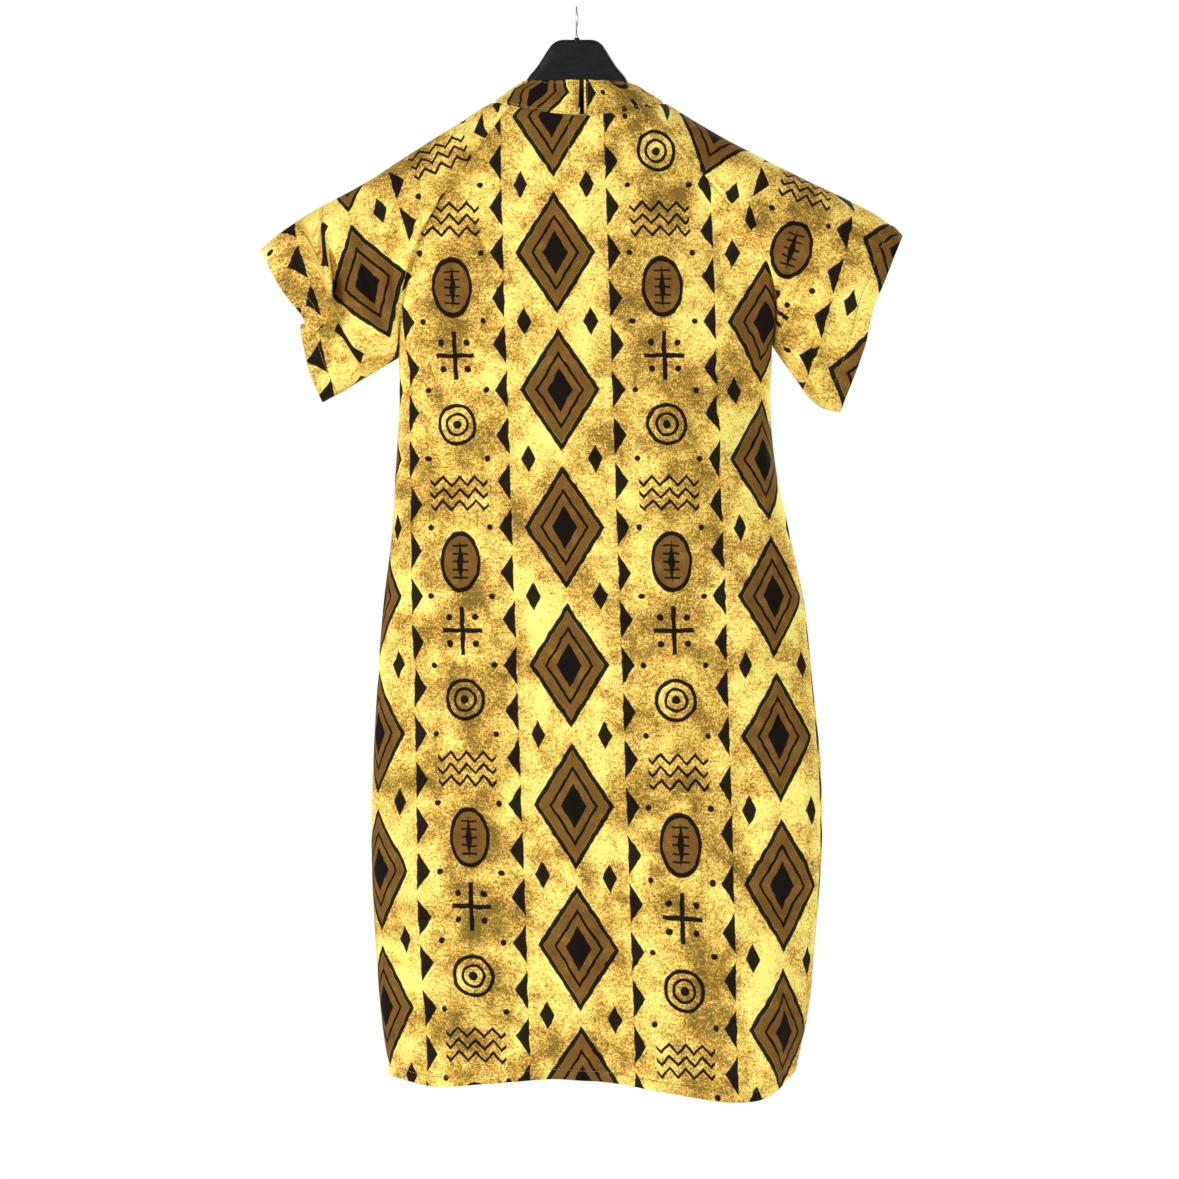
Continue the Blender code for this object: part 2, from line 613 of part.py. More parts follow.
def main():
    for old in list(bpy.data.objects):
        bpy.data.objects.remove(old, do_unlink=True)
    cloth = make_material("printed_cloth", (0.72, 0.50, 0.16), 0.8)
    plastic = make_material("black_plastic", (0.025, 0.025, 0.028), 0.45)
    steel = make_material("steel_wire", (0.45, 0.45, 0.46), 0.35, 1.0)
    grids, normals = garment()
    for name, grid in grids.items():
        wall(name, open_seams(name, grid, normals[name]), normals[name], cloth)
    make_hanger(plastic)
    make_hook(steel)


if __name__ == "__main__":
    main()
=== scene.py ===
"""The looks of a printed raglan tunic on a black plastic hanger.

Every cloth piece is a fine shell on the form of its solid, with the creases, seams and print added.
Sizes are in millimetres, and a drop is how far below the inside top of the hanger's hook a point lies.
"""

from collections import namedtuple
from functools import partial, partialmethod
from math import cos, dist, hypot, pi, radians, sin, sqrt

import bpy
import numpy as np
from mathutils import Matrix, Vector


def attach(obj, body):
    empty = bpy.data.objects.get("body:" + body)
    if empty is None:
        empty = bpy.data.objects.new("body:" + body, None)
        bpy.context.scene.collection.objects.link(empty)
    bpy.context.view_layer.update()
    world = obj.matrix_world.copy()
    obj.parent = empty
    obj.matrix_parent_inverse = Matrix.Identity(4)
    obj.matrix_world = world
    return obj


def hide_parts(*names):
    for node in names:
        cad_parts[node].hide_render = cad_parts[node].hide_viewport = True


MM = 0.001


def table(kind, *rows):
    """A table's rows, with the columns that kind names."""
    return tuple(kind(*row) for row in rows)


# The neck's two rings and the slit between the collar's ends.
Ring = namedtuple("Ring", "middle half_width front back drop_left drop_right drop_front drop_back")
NECK_BASE = Ring(2.0, 85.0, 50.0, 46.0, 92.5, 93.5, 109.0, 97.0)
NECK_TOP = Ring(2.5, 56.0, 36.0, 22.0, 72.0, 75.5, 74.0, 72.0)
SLIT_OFFSET = 3.0
SLIT_AT_BASE = 4.4
SLIT_AT_TOP = 2.8
SLIT_FADE = 12.0

Section = namedtuple("Section", "drop left right front back")
BODY = table(
    Section,
    (337, -178, 195, 64, 56),
    (400, -178, 194, 66, 58),
    (460, -181, 199, 69, 60),
    (525, -185, 212.5, 73, 63),
    (590, -193, 226.5, 77, 67),
    (670, -199, 235, 82, 72),
    (760, -204, 243, 86, 77),
    (840, -205, 244, 87, 78),
    (920, -202, 238, 84, 75),
    (1000, -196, 231, 78, 69),
    (1066, -187, 217, 71, 62),
)
RAGLAN_RISE = 34.0
BODY_CURVE = 0.75
ARMPIT_CURVE = 2.6

Hem = namedtuple("Hem", "share drop")
FRONT_HEM = table(Hem, (0, 1065), (0.10, 1072), (0.25, 1069), (0.40, 1065), (0.52, 1067), (0.65, 1075),
                  (0.75, 1083), (0.85, 1088), (0.92, 1085), (0.96, 1077), (1, 1061))
BACK_HEM = table(Hem, (0, 1066), (0.25, 1064), (0.5, 1060), (0.75, 1066), (1, 1062))

# Upright folds. One that is full below LASTING goes on to the hem, and the others fade over FOLD_FADE.
LASTING = 1000
FOLD_FADE = 160
Fold = namedtuple("Fold", "share width height starts full")
FRONT_FOLDS = table(
    Fold,
    (0.15, 0.09, 8, 560, 1060),
    (0.31, 0.07, -5, 620, 1060),
    (0.46, 0.10, -9, 480, 1060),
    (0.64, 0.06, 5, 640, 1060),
    (0.84, 0.09, 9, 540, 1060),
    (0.30, 0.12, 5, 190, 330),
    (0.70, 0.12, 4, 190, 330),
)
BACK_FOLDS = table(
    Fold,
    (0.20, 0.08, 9, 480, 1060),
    (0.38, 0.07, -10, 420, 1060),
    (0.54, 0.07, 8, 400, 1060),
    (0.70, 0.07, -9, 450, 1060),
    (0.85, 0.06, 6, 560, 1060),
)

# The front and the back: which way each faces, its angles round the neck, its share of the raglan's
# depth, and how many columns it has.
Layer = namedtuple("Layer", "name outward middle_angle seam_angle ring_depth ring_drop share columns "
                   "sleeve_columns folds hem")
FRONT = Layer("front", -1, 0.0, radians(56), NECK_BASE.front, NECK_BASE.drop_front, 1.0, 150, 84,
              FRONT_FOLDS, FRONT_HEM)
BACK = Layer("back", 1, pi, radians(128), NECK_BASE.back, NECK_BASE.drop_back, 0.88, 116, 50,
             BACK_FOLDS, BACK_HEM)

# The sleeves' folds: a lip above the crease, a hollow below it, and how far the lip hangs over.
Crease = namedtuple("Crease", "along share")
LEFT_CREASE = table(Crease, (0.18, 0.24), (0.26, 0.365), (0.37, 0.465), (0.52, 0.555), (0.70, 0.585),
                    (1, 0.565))
RIGHT_CREASE = table(Crease, (0, 0.50), (0.1, 0.57), (0.25, 0.68), (0.4, 0.78), (0.55, 0.92), (1, 1.25))
SleeveFold = namedtuple("SleeveFold", "line lip lip_width hollow hollow_width overhang starts full")
LEFT_FOLD = SleeveFold(LEFT_CREASE, 13.0, 0.06, 13.0, 0.045, 0.085, 0.07, 0.30)
RIGHT_FOLD = SleeveFold(RIGHT_CREASE, 5.0, 0.08, 6.0, 0.05, 0.012, 0.0, 0.4)
LIP_ABOVE = 0.05
HOLLOW_BELOW = 0.045
HOLLOW_TAIL = 2.2
OVER_ABOVE = 0.025
UNDER_BELOW = 0.028
UNDER_SHARE = 0.6
OVERHANG_WIDTH = 0.040

# How far the cuffs' edges lie back from a straight cut, from the top down.
Recess = namedtuple("Recess", "share back")
LEFT_CUFF = table(Recess, (0, 0), (0.13, 1), (0.26, 3), (0.39, 7), (0.50, 11.5), (0.56, 9.5), (0.64, 3.5),
                  (0.74, 1), (1, 0))
RIGHT_CUFF = table(Recess, (0, 0), (0.3, 2), (0.42, 3), (0.5, 2), (0.6, 0), (0.7, -3), (0.93, -3), (1, 0))

Point = namedtuple("Point", "across drop")
Side = namedtuple("Side", "sign armhole_top cuff_depth fold cuff print_offset shoulder raglan underarm")
LEFT = Side(
    -1, -240, 36.0, LEFT_FOLD, LEFT_CUFF, 70,
    shoulder=table(Point, (-83, 92.5), (-120, 115), (-162, 142), (-205, 170), (-242, 191), (-279, 212),
                   (-305, 231), (-316, 241)),
    raglan=table(Point, (-118, 168), (-158, 237), (-175, 297), (-178, 349)),
    underarm=table(Point, (-178, 349), (-215, 371), (-254, 394)),
)
RIGHT = Side(
    1, 258, 37.0, RIGHT_FOLD, RIGHT_CUFF, 40,
    shoulder=table(Point, (87, 93.5), (134, 121.5), (190, 152), (229, 171), (270, 191), (307, 211),
                   (320, 220), (326, 227)),
    raglan=table(Point, (122, 163), (164, 213), (189, 258), (198, 298), (195, 337)),
    underarm=table(Point, (195, 337), (206, 353), (219, 371), (232, 389), (247, 400), (263, 404)),
)
SIDES = {"sleeve_left": LEFT, "sleeve_right": RIGHT}
ARMHOLE_DEPTH = 46.0
ARMHOLE_SWELL = 18.0
SHOULDER_CURVE = 0.84
SLEEVE_CURVE = 0.85

# The hanger, which lies under cloth as thick as the solids', and its hook.
HUMP = table(Point, (0, 31), (9, 31), (17, 31.3), (21, 32.8), (25, 35.6), (31, 44), (36.5, 53), (43, 62),
             (48.5, 68), (53, 76), (60, 82.5), (68, 88.5))
SOLID_CLOTH = 2.0
HANGER_SEAT = 0.7
ARM_REACH = 203.0
HUMP_BOTTOM = 104.0
HUMP_REACH = 90.0
ARM_HEIGHT = 25.0
HUMP_HALF_THICKNESS = 6.5
ARM_HALF_THICKNESS = 11.0
ARM_FULL_THICKNESS_AT = 150.0
ARM_SECTION = 0.85
ARM_END = 9.0
ARM_END_SHARE = 0.35
MOULDING_LINE = 0.25
MOULDING_WIDTH = 0.12
BOSS_FOOT = 3.2
BOSS_TIP = 2.0
BOSS_HEIGHT = 2.4
BOSS_SIDES = 32
HOOK_WIRE = 1.3
HOOK_INSIDE = 11.0
HOOK_SOCKET_DEPTH = 14.0
HOOK_STARTS = radians(-62)
HOOK_ENDS = radians(205)
HOOK_BEND_HEIGHT = 4.5
HOOK_BEND_PULL = 3.1
HOOK_GAP = 0.3
HOOK_DOME = (0.35, 0.7, 0.9, 0.98)

# How many rows, columns and sides the pieces have, and how their rows crowd.
YOKE_ROWS = 58
YOKE_FIRST_ROWS = (0, 0.08, 0.2, 0.45)
YOKE_CROWDING = 1.45
BODY_ROWS = 140
HEM_ROWS = 18
HEM_STARTS = 0.967
SLEEVE_ROWS = 44
COLLAR_ROWS = 14
COLLAR_CROWDING = 0.6
EDGE_CROWDING = 0.72
SEAM_CROWDING = 1.3
HANGER_STATIONS = 150
HANGER_SIDES = 40
HOOK_SIDES = 16
STEM_POINTS = 12
BEND_POINTS = 16
ROUND_POINTS = 80

# The sewing: the cloth's thickness, its turned hems, and how far seams and stitches draw it in. Then its
# soft waves, and how far each panel's depth is averaged.
CLOTH_THICKNESS = 0.8
COLLAR_THICKNESS = 2.0
HEM_DEPTH = 10.0
CUFF_HEM_DEPTH = 17.0
COLLAR_STITCHES = 3.0
COLLAR_FOOT_STITCHES = 2.6
COLLAR_END_STITCHES = 3.4
COLLAR_FOLD = 0.8
COLLAR_FOLD_WIDTH = 1.1
HEM_STANDS = 0.4
STITCH_GROOVE = 1.2
STITCH_GROOVE_WIDTH = 1.5
HEM_PUCKER = 0.45
PUCKER_LENGTH = 3.4
PUCKER_WIDTH = 6.0
CUFF_TURN = 0.34
SEAM_DIP = 1.7
SEAM_WIDTH = 2.2
EDGE_FADE = 12.0
FLUTE_FADE = 40.0
FLUTES_START = 430
FLUTES_GROW = 620
BROAD_FLUTE = 3.2
NARROW_FLUTE = 0.9
LONG_WAVE = 0.5
SHORT_WAVE = 0.22
SMOOTH_REACH = 13.0
SMOOTH_FADE = 30.0
SMOOTH_EDGE_ROWS = 12
FACING = ((-8, 114), (-8, 156), (27.5, 156), (27.5, 113))
Stitch = namedtuple("Stitch", "length radius gap rise sink")
STITCH = Stitch(3.1, 0.34, 0.6, 0.12, 0.35)
STITCH_SIDES = 6
STITCH_SWELL = ((-1, 0.25), (-0.82, 0.75), (-0.4, 1), (0.4, 1), (0.82, 0.75), (1, 0.25))

# The print: its grain line on the panels, which swings with the hem, and where it lies on the sleeves.
GRAIN_TOP = -26.0
GRAIN_LEAN = 0.0337
GRAIN_STARTS = 111.0
GRAIN_SAG = 0.08
SAG_STARTS = 640
SAG_GROWS = 420
SAG_FROM = -110
SLEEVE_TILT = radians(17)
SLEEVE_MIDDLE = 0.6
BACK_PRINT_STARTS = 60.0
COLLAR_PRINT = (52, 190)

# The print's shapes: half the width and half the height of each, and the lines' half widths. A target's
# rings and the dots are a radius and a half width, and each offset is from the middle of a column.
COLUMN_PITCH = 210.0
DIAMOND_PITCH = 136.0
MARK_PITCH = 272.0
PRINT_WOBBLE = 3.0
OUTLINE = (40, 61)
DIAMOND = (34.5, 53)
INNER_LINE = (22.5, 36)
CORE = (12.5, 22)
INNER_LINE_HALF = 1.3
TIP = (7.5, 14)
TIP_OFFSET = 33
TEETH = (13, DIAMOND_PITCH / 3, 19)
TEETH_OFFSET = 52
MARK_ROWS = (34, 102, 170, 238)
TARGET = ((19, 1.9), (10.5, 1.5), (0, 4.2))
OVAL = (19, 28)
OVAL_SLIT = (3.4, 21)
OVAL_LINE_HALF = 1.7
OVAL_RUNG = (8, 1.0)
OVAL_RUNG_PITCH = 8
OVAL_RUNGS_END = 18
CROSS = (2.3, 24)
CROSSBAR = (20, 2.3)
CROSS_DOT = (0, 3.3)
CROSS_DOT_OFFSET = 13
SIDE_DOT = (0, 3.0)
SIDE_DOT_OFFSET = 31
WAVE = (17, 9, 1.9, 30)
WAVE_SPACING = 12

# The print's colours.
LEMON = (0.94, 0.87, 0.225)
GOLD = (0.90, 0.62, 0.132)
DEEP_GOLD = (0.65, 0.365, 0.066)
OLIVE = (0.36, 0.215, 0.036)
DARK_OLIVE = (0.20, 0.125, 0.022)
BROWN = (0.200, 0.096, 0.019)
DARK_BROWN = (0.140, 0.066, 0.013)
INK = (0.0050, 0.0034, 0.0030)
REVERSE = (0.62, 0.43, 0.15)
GROUND = ((0.10, LEMON), (0.34, GOLD), (0.56, DEEP_GOLD), (0.80, OLIVE), (1.0, DARK_OLIVE))
YARN_PITCH = 0.62

# The white room: how brightly it lights things, since it looks fully white, and what the camera sees of it.
ROOM_LIGHT = 0.34
FRAME_MIDDLE = Vector((0.0125, 0.0, -0.5805))
FRAME_WIDTH = 1.179
CAMERA_FAR = 5.5
SENSOR = 36
FLOOR_RADIUS = 2600
FLOOR_DROP = 1600
FLOOR_SIDES = 96
Lamp = namedtuple("Lamp", "name place size power")
LAMPS = table(
    Lamp,
    ("key", (-2.7, -2.0, 0.6), 0.7, 83),
    ("fill", (2.2, -2.8, -0.1), 1.6, 44),
    ("rear", (2.2, 2.4, 1.4), 1.0, 90),
)

# Which way round each piece's rows and columns go, so that its squares face outwards.
WINDING = {"front": -1, "back": 1, "sleeve_left": 1, "sleeve_right": -1, "collar": -1}

# Creases in the plane of the front: from one point to another, a trough where the height is negative.
CREASE_DEPTH = 3.0
CREASE_BOW = 0.05
CREASE_TAPER = 0.7
CREASE_SHARPNESS = 1.4
CREASE_ROUND = 0.3
Line = namedtuple("Line", "x1 drop1 x2 drop2 width height")
CREASES = {
    "front": (
        (-170, 356, -84, 452, 10, -2.6), (-168, 372, -118, 520, 13, -2.2), (-160, 350, -60, 400, 8, -1.6),
        (-150, 372, -70, 470, 9, 1.4), (188, 344, 112, 424, 10, -2.4), (188, 362, 150, 516, 13, -2.4),
        (176, 340, 84, 384, 8, -1.5), (172, 366, 104, 470, 9, 1.4), (-44, 120, -76, 196, 7, -1.3),
        (-22, 122, -34, 210, 8, -1.0), (36, 122, 54, 214, 8, -1.1), (60, 116, 92, 190, 7, -1.3),
        (-112, 186, -134, 300, 9, -1.6), (126, 186, 150, 300, 9, -1.7), (-64, 560, -78, 1066, 20, -3.2),
        (-20, 700, -14, 1066, 14, 2.0), (48, 520, 62, 1075, 20, -3.4), (92, 720, 104, 1078, 14, 2.2),
        (140, 620, 150, 1084, 18, -2.6), (-140, 640, -150, 1068, 18, -2.6), (-190, 640, -120, 700, 14, -1.6),
        (-196, 860, -130, 830, 14, -1.4), (226, 610, 160, 672, 14, -1.8), (234, 900, 168, 862, 14, -1.5),
        (-166, 380, -150, 470, 8, 1.8), (-172, 420, -96, 505, 9, -1.5), (-176, 470, -118, 560, 10, -1.3),
        (188, 400, 118, 492, 9, -1.5), (196, 462, 140, 560, 10, -1.4), (182, 372, 172, 470, 8, 1.8),
        (-30, 250, -66, 360, 12, -1.2), (52, 258, 84, 372, 12, -1.3), (-100, 300, -60, 330, 9, 1.0),
        (116, 292, 78, 330, 9, 1.0), (-118, 900, -104, 1066, 12, 2.2), (196, 960, 188, 1078, 11, 2.0),
        (8, 840, 22, 1068, 10, -2.0), (-186, 760, -150, 1000, 14, 1.6), (222, 700, 196, 980, 14, 1.6),
    ),
    "back": (
        (-170, 352, -92, 440, 10, -2.6), (-166, 372, -126, 520, 13, -2.0), (188, 342, 116, 436, 10, -2.6),
        (186, 364, 144, 520, 13, -2.2), (-50, 112, -70, 210, 8, -1.4), (0, 108, 2, 250, 12, -1.6),
        (52, 112, 76, 206, 8, -1.4), (-90, 520, -96, 1058, 20, -3.4), (-30, 600, -36, 1058, 16, 2.4),
        (34, 480, 44, 1060, 20, -3.2), (104, 620, 112, 1064, 16, 2.4), (150, 540, 164, 1062, 18, -3.0),
        (-196, 700, -120, 740, 14, -1.6), (236, 760, 150, 800, 14, -1.6), (-168, 400, -110, 500, 9, -1.6),
        (190, 396, 130, 500, 9, -1.6), (-110, 300, -70, 350, 10, 1.2), (110, 290, 72, 344, 10, 1.2),
        (-130, 180, -146, 300, 9, -1.5), (136, 182, 156, 300, 9, -1.5), (-150, 860, -140, 1060, 12, 2.2),
        (60, 900, 72, 1060, 10, -2.0),
    ),
    "sleeve_left": (
        (-184, 336, -214, 236, 7, -2.4), (-190, 344, -236, 300, 6, -2.0), (-176, 312, -178, 214, 8, -1.8),
        (-206, 190, -196, 244, 6, -1.8), (-222, 200, -226, 250, 6, 1.6), (-150, 206, -128, 156, 7, -1.2),
        (-300, 250, -262, 268, 9, -1.4), (-236, 336, -262, 376, 8, -1.8), (-212, 342, -244, 386, 6, 1.4),
    ),
    "sleeve_right": (
        (198, 326, 224, 236, 7, -2.2), (202, 334, 246, 282, 7, -1.8), (190, 300, 186, 206, 8, -1.6),
        (224, 178, 212, 236, 7, -1.4), (160, 206, 138, 158, 7, -1.2), (312, 232, 276, 262, 10, -1.5),
        (286, 300, 256, 350, 9, -1.6), (232, 330, 246, 392, 7, 1.6),
    ),
    "collar": (),
}


def smooth_curve(stations, values, at):
    """A smooth curve through given values, with the slope at each one that of its neighbours."""
    stations = np.asarray(stations, float)
    values = np.asarray(values, float)
    at = np.clip(at, stations[0], stations[-1])
    slopes = np.gradient(values, stations)
    i = np.clip(np.searchsorted(stations, at, side="right") - 1, 0, len(stations) - 2)
    length = stations[i + 1] - stations[i]
    t = (at - stations[i]) / length
    start_slope = slopes[i] * length * t * (1 - t) ** 2
    end_slope = slopes[i + 1] * length * t * t * (t - 1)
    return between(values[i], values[i + 1], smooth_step(t)) + start_slope + end_slope


def between(start, end, share):
    return start + (end - start) * share


def smooth_step(value):
    t = np.clip(value, 0, 1)
    return t * t * (3 - 2 * t)


def bell(offset, width):
    return np.exp(-((offset / width) ** 2))


def column(rows, name):
    return [getattr(row, name) for row in rows]


def curve(rows, x, y, at):
    """The smooth curve through two columns of a table."""
    return smooth_curve(column(rows, x), column(rows, y), at)


def along_points(points, share):
    """A point at a share of the length of the smooth line through points."""
    across = np.array(column(points, "across"), float)
    drop = np.array(column(points, "drop"), float)
    length = np.concatenate([[0], np.cumsum(np.hypot(np.diff(across), np.diff(drop)))])
    at = share * length[-1]
    return smooth_curve(length, across, at), smooth_curve(length, drop, at)


def unit(vectors):
    return vectors / np.maximum(np.linalg.norm(vectors, axis=-1, keepdims=True), 1e-9)


def ring_point(ring, angle):
    """A point of a neck ring; the angle is 0 at the front's middle and grows towards +X."""
    sine, cosine = np.sin(angle), np.cos(angle)
    x = ring.middle + ring.half_width * sine + SLIT_OFFSET * np.maximum(cosine, 0) ** 2
    y = -np.where(cosine > 0, ring.front, ring.back) * cosine
    side = between(ring.drop_left, ring.drop_right, (sine + 1) / 2)
    end = np.where(cosine > 0, ring.drop_front, ring.drop_back)
    return np.stack([x, y, -between(side, end, cosine**2)], axis=-1)


def yoke_rows(make_row, neckline):
    """Rows down the raglan seam, closer together at the neck, with the first moved onto the neckline."""
    steps = np.concatenate([YOKE_FIRST_ROWS, np.arange(1, YOKE_ROWS + 1)]) / YOKE_ROWS
    shares = 1 - (1 - steps) ** YOKE_CROWDING
    rows = [make_row(share) for share in shares]
    return [row + (neckline - rows[0]) * (1 - share) ** 4 for row, share in zip(rows, shares)]


def across_panel(columns):
    """Places across a panel from -1 to 1, closer together at its side seams."""
    even = np.linspace(-1, 1, columns + 1)
    return (1 - EDGE_CROWDING) * even + EDGE_CROWDING * np.sin(even * pi / 2)


def half_turn(columns):
    """Angles from a sleeve's lower edge to its top, closer together at the lower edge."""
    return pi * (1 - np.linspace(0, 1, columns + 1) ** SEAM_CROWDING)


def sleeve_row(half_row):
    """A sleeve's row, from the front seam over the top to the back, out of a function for half of it."""
    return np.concatenate([half_row(FRONT), half_row(BACK)[::-1][1:]])


def full_turn(sides):
    return np.linspace(0, 2 * pi, sides, endpoint=False)


def shoulder_drop(side, reach):
    """The drop of the shoulder's outline at a distance from the middle."""
    return smooth_curve(np.abs(column(side.shoulder, "across")), column(side.shoulder, "drop"), reach)


def raglan_line(side, angle, share):
    """The raglan seam in the plane of the front, from the neck's ring to the armpit."""
    start = ring_point(NECK_BASE, np.array(side.sign * angle))
    return along_points((Point(start[0], -start[2]),) + side.raglan, share)


def armpit_fall(share):
    """How the front and back come together at the armpit: 1 high up on the seam, 0 at its end."""
    return np.sqrt(np.maximum(0, 1 - share**ARMPIT_CURVE))


def seam_depth(share, layer):
    """How far the raglan seam stands out from the plane of the shoulders."""
    start = layer.ring_depth * abs(cos(layer.seam_angle))
    return (start + RAGLAN_RISE * layer.share * share) * armpit_fall(share)


def fold_height(folds, share, drop):
    """What the soft upright folds add at a share of the width and a drop."""
    total = 0.0
    for fold in folds:
        grown = smooth_step((drop - fold.starts) / (fold.full - fold.starts))
        faded = 1 if fold.full > LASTING else 1 - smooth_step((drop - fold.full) / FOLD_FADE)
        total = total + fold.height * grown * faded * bell(share - fold.share, fold.width)
    return total


def panel_grid(layer):
    """The front or back as rows of points, from the neckline to the hem and from left to right."""
    across = across_panel(layer.columns)
    neck_angle = abs(layer.seam_angle - layer.middle_angle)
    neckline = ring_point(NECK_BASE, layer.middle_angle + across * (layer.seam_angle - layer.middle_angle))
    chest = getattr(BODY[0], layer.name)

    def yoke_row(share):
        left = raglan_line(LEFT, layer.seam_angle, share)
        right = raglan_line(RIGHT, layer.seam_angle, share)
        spread = between(neck_angle, pi / 2, smooth_step(share))
        cosine = np.cos(across * spread)
        place = (1 + np.sin(across * spread) / sin(spread)) / 2
        facing = cosine**2 - cos(spread) ** 2
        x = between(left[0], right[0], place)
        if layer is FRONT:
            x = x + SLIT_OFFSET * (1 - share) * facing
        sag = (layer.ring_drop - (left[1] + right[1]) / 2) * max(0, 1 - 2 * share)
        drop = between(left[1], right[1], place) + sag * facing / sin(spread) ** 2
        bulge = (cosine - cos(spread)) / (1 - cos(spread))
        bulge = np.maximum(bulge, 0) ** (1 + (BODY_CURVE - 1) * share)
        middle = between(layer.ring_depth, chest, smooth_step(share))
        depth = middle * bulge + seam_depth(share, layer) * (1 - bulge) ** (1 + share)
        depth = depth + fold_height(layer.folds, place, drop) * bulge
        return np.stack([x, layer.outward * depth, -drop], axis=-1)

    def body_row(share):
        place = (1 + np.sin(across * pi / 2)) / 2
        armpit = between(LEFT.raglan[-1].drop, RIGHT.raglan[-1].drop, place)
        drop = between(armpit, curve(layer.hem, "share", "drop", place), share)
        left = curve(BODY, "drop", "left", drop[0])
        right = curve(BODY, "drop", "right", drop[-1])
        round_off = np.maximum(np.cos(across * pi / 2), 0) ** BODY_CURVE
        depth = (curve(BODY, "drop", layer.name, drop) + fold_height(layer.folds, place, drop)) * round_off
        return np.stack([between(left, right, place), layer.outward * depth, -drop], axis=-1)

    down = np.linspace(0, HEM_STARTS, BODY_ROWS)[1:]
    in_hem = np.linspace(HEM_STARTS, 1, HEM_ROWS)[1:]
    return np.array(yoke_rows(yoke_row, neckline) + [body_row(share) for share in (*down, *in_hem)])


def sleeve_fold(fold, along, share):
    """How far a sleeve's fold moves a point outwards and down its side."""
    from_line = share - curve(fold.line, "along", "share", along)
    grown = smooth_step((along - fold.starts) / (fold.full - fold.starts))
    hollow_width = fold.hollow_width * np.where(from_line > HOLLOW_BELOW, HOLLOW_TAIL, 1.0)
    lip = fold.lip * bell(from_line + LIP_ABOVE, fold.lip_width)
    hollow = fold.hollow * bell(from_line - HOLLOW_BELOW, hollow_width)
    over = bell(from_line + OVER_ABOVE, OVERHANG_WIDTH)
    under = bell(from_line - UNDER_BELOW, OVERHANG_WIDTH)
    return (lip - hollow) * grown, fold.overhang * (over - UNDER_SHARE * under) * grown


def sleeve_grid(side):
    """A sleeve as rows from the neck to the cuff, each from the front seam over the top to the back."""
    neck, cuff = side.shoulder[0].across, side.shoulder[-1].across
    sleeve_length = abs(cuff - side.armhole_top)
    arm_direction = unit(np.array(side.underarm[1], float) - np.array(side.underarm[0], float))

    def half_row(share, along, layer):
        """Half of a row, from its lower edge to the top of the sleeve."""
        turn = half_turn(layer.sleeve_columns)
        down = (1 - np.cos(turn)) / 2
        if along <= 0:
            top = between(neck, side.armhole_top, share)
            low = raglan_line(side, layer.seam_angle, share)
            arch = seam_depth(share, layer) * np.sin(turn / 2) ** SHOULDER_CURVE
            closed = ARMHOLE_DEPTH * layer.share * (1 - armpit_fall(share)) * np.sin(turn) ** SLEEVE_CURVE
            depth = arch + closed
        else:
            recess = curve(side.cuff, "share", "back", down)
            place = along * (1 - along * recess / sleeve_length)
            out, slide = sleeve_fold(side.fold, place, down) if layer is FRONT else (0.0, 0.0)
            top = between(side.armhole_top, cuff, place)
            low = along_points(side.underarm, place)
            rounded = np.maximum(np.sin(turn), 0)
            depth = between(ARMHOLE_DEPTH, side.cuff_depth, smooth_step(place))
            depth = depth * layer.share * rounded**SLEEVE_CURVE + out * rounded
            down = down + slide * rounded
        swell = ARMHOLE_SWELL * np.sin(turn) * (share**8 * (1 - along) ** 2)
        x = between(top, low[0], down) + swell * arm_direction[0]
        drop = between(shoulder_drop(side, np.abs(top)), low[1], down) + swell * arm_direction[1]
        return np.stack([x, layer.outward * depth, -drop], axis=-1)

    def whole_row(share, along=0):
        return sleeve_row(partial(half_row, share, along))

    def half_angles(layer):
        return between(layer.seam_angle, pi / 2, 1 - half_turn(layer.sleeve_columns) / pi)

    angles = side.sign * sleeve_row(half_angles)
    rows = yoke_rows(whole_row, ring_point(NECK_BASE, angles))
    rows += [whole_row(1, along) for along in np.linspace(0, 1, SLEEVE_ROWS + 1)[1:]]
    return np.array(rows), angles


def collar_grid(sleeve_angles):
    """The collar as rows from its upper edge down to the neckline, from the slit round to the slit."""
    front = across_panel(FRONT.columns)[FRONT.columns // 2:] * FRONT.seam_angle
    back = pi - across_panel(BACK.columns)[BACK.columns // 2:][::-1] * (pi - BACK.seam_angle)
    right = np.concatenate([front, sleeve_angles[1:], back[1:]])
    angles = np.concatenate([right, 2 * pi - right[::-1][1:]])
    even = np.linspace(0, 1, COLLAR_ROWS + 1)
    shares = smooth_step(even) * COLLAR_CROWDING + even * (1 - COLLAR_CROWDING)
    top, base = ring_point(NECK_TOP, angles), ring_point(NECK_BASE, angles)
    grid = np.array([between(top, base, share) for share in shares])
    half_slit = between(SLIT_AT_TOP, SLIT_AT_BASE, shares)[:, None] / 2
    right_half = np.arange(grid.shape[1]) < grid.shape[1] // 2
    for end, onward, half in ((0, 1, right_half), (-1, -2, ~right_half)):
        far = np.linalg.norm(grid - grid[:, end][:, None], axis=-1)
        fade = np.clip(1 - far / SLIT_FADE, 0, 1) * half
        direction = unit(grid[:, onward] - grid[:, end])
        grid = grid + direction[:, None] * (fade * half_slit)[..., None]
    return grid


def square_corners(grid):
    """The four corners of every square of a grid, in order round it."""
    low, high = slice(0, -1), slice(1, None)
    places = ((low, low), (low, high), (high, high), (high, low))
    return places, [grid[place] for place in places]


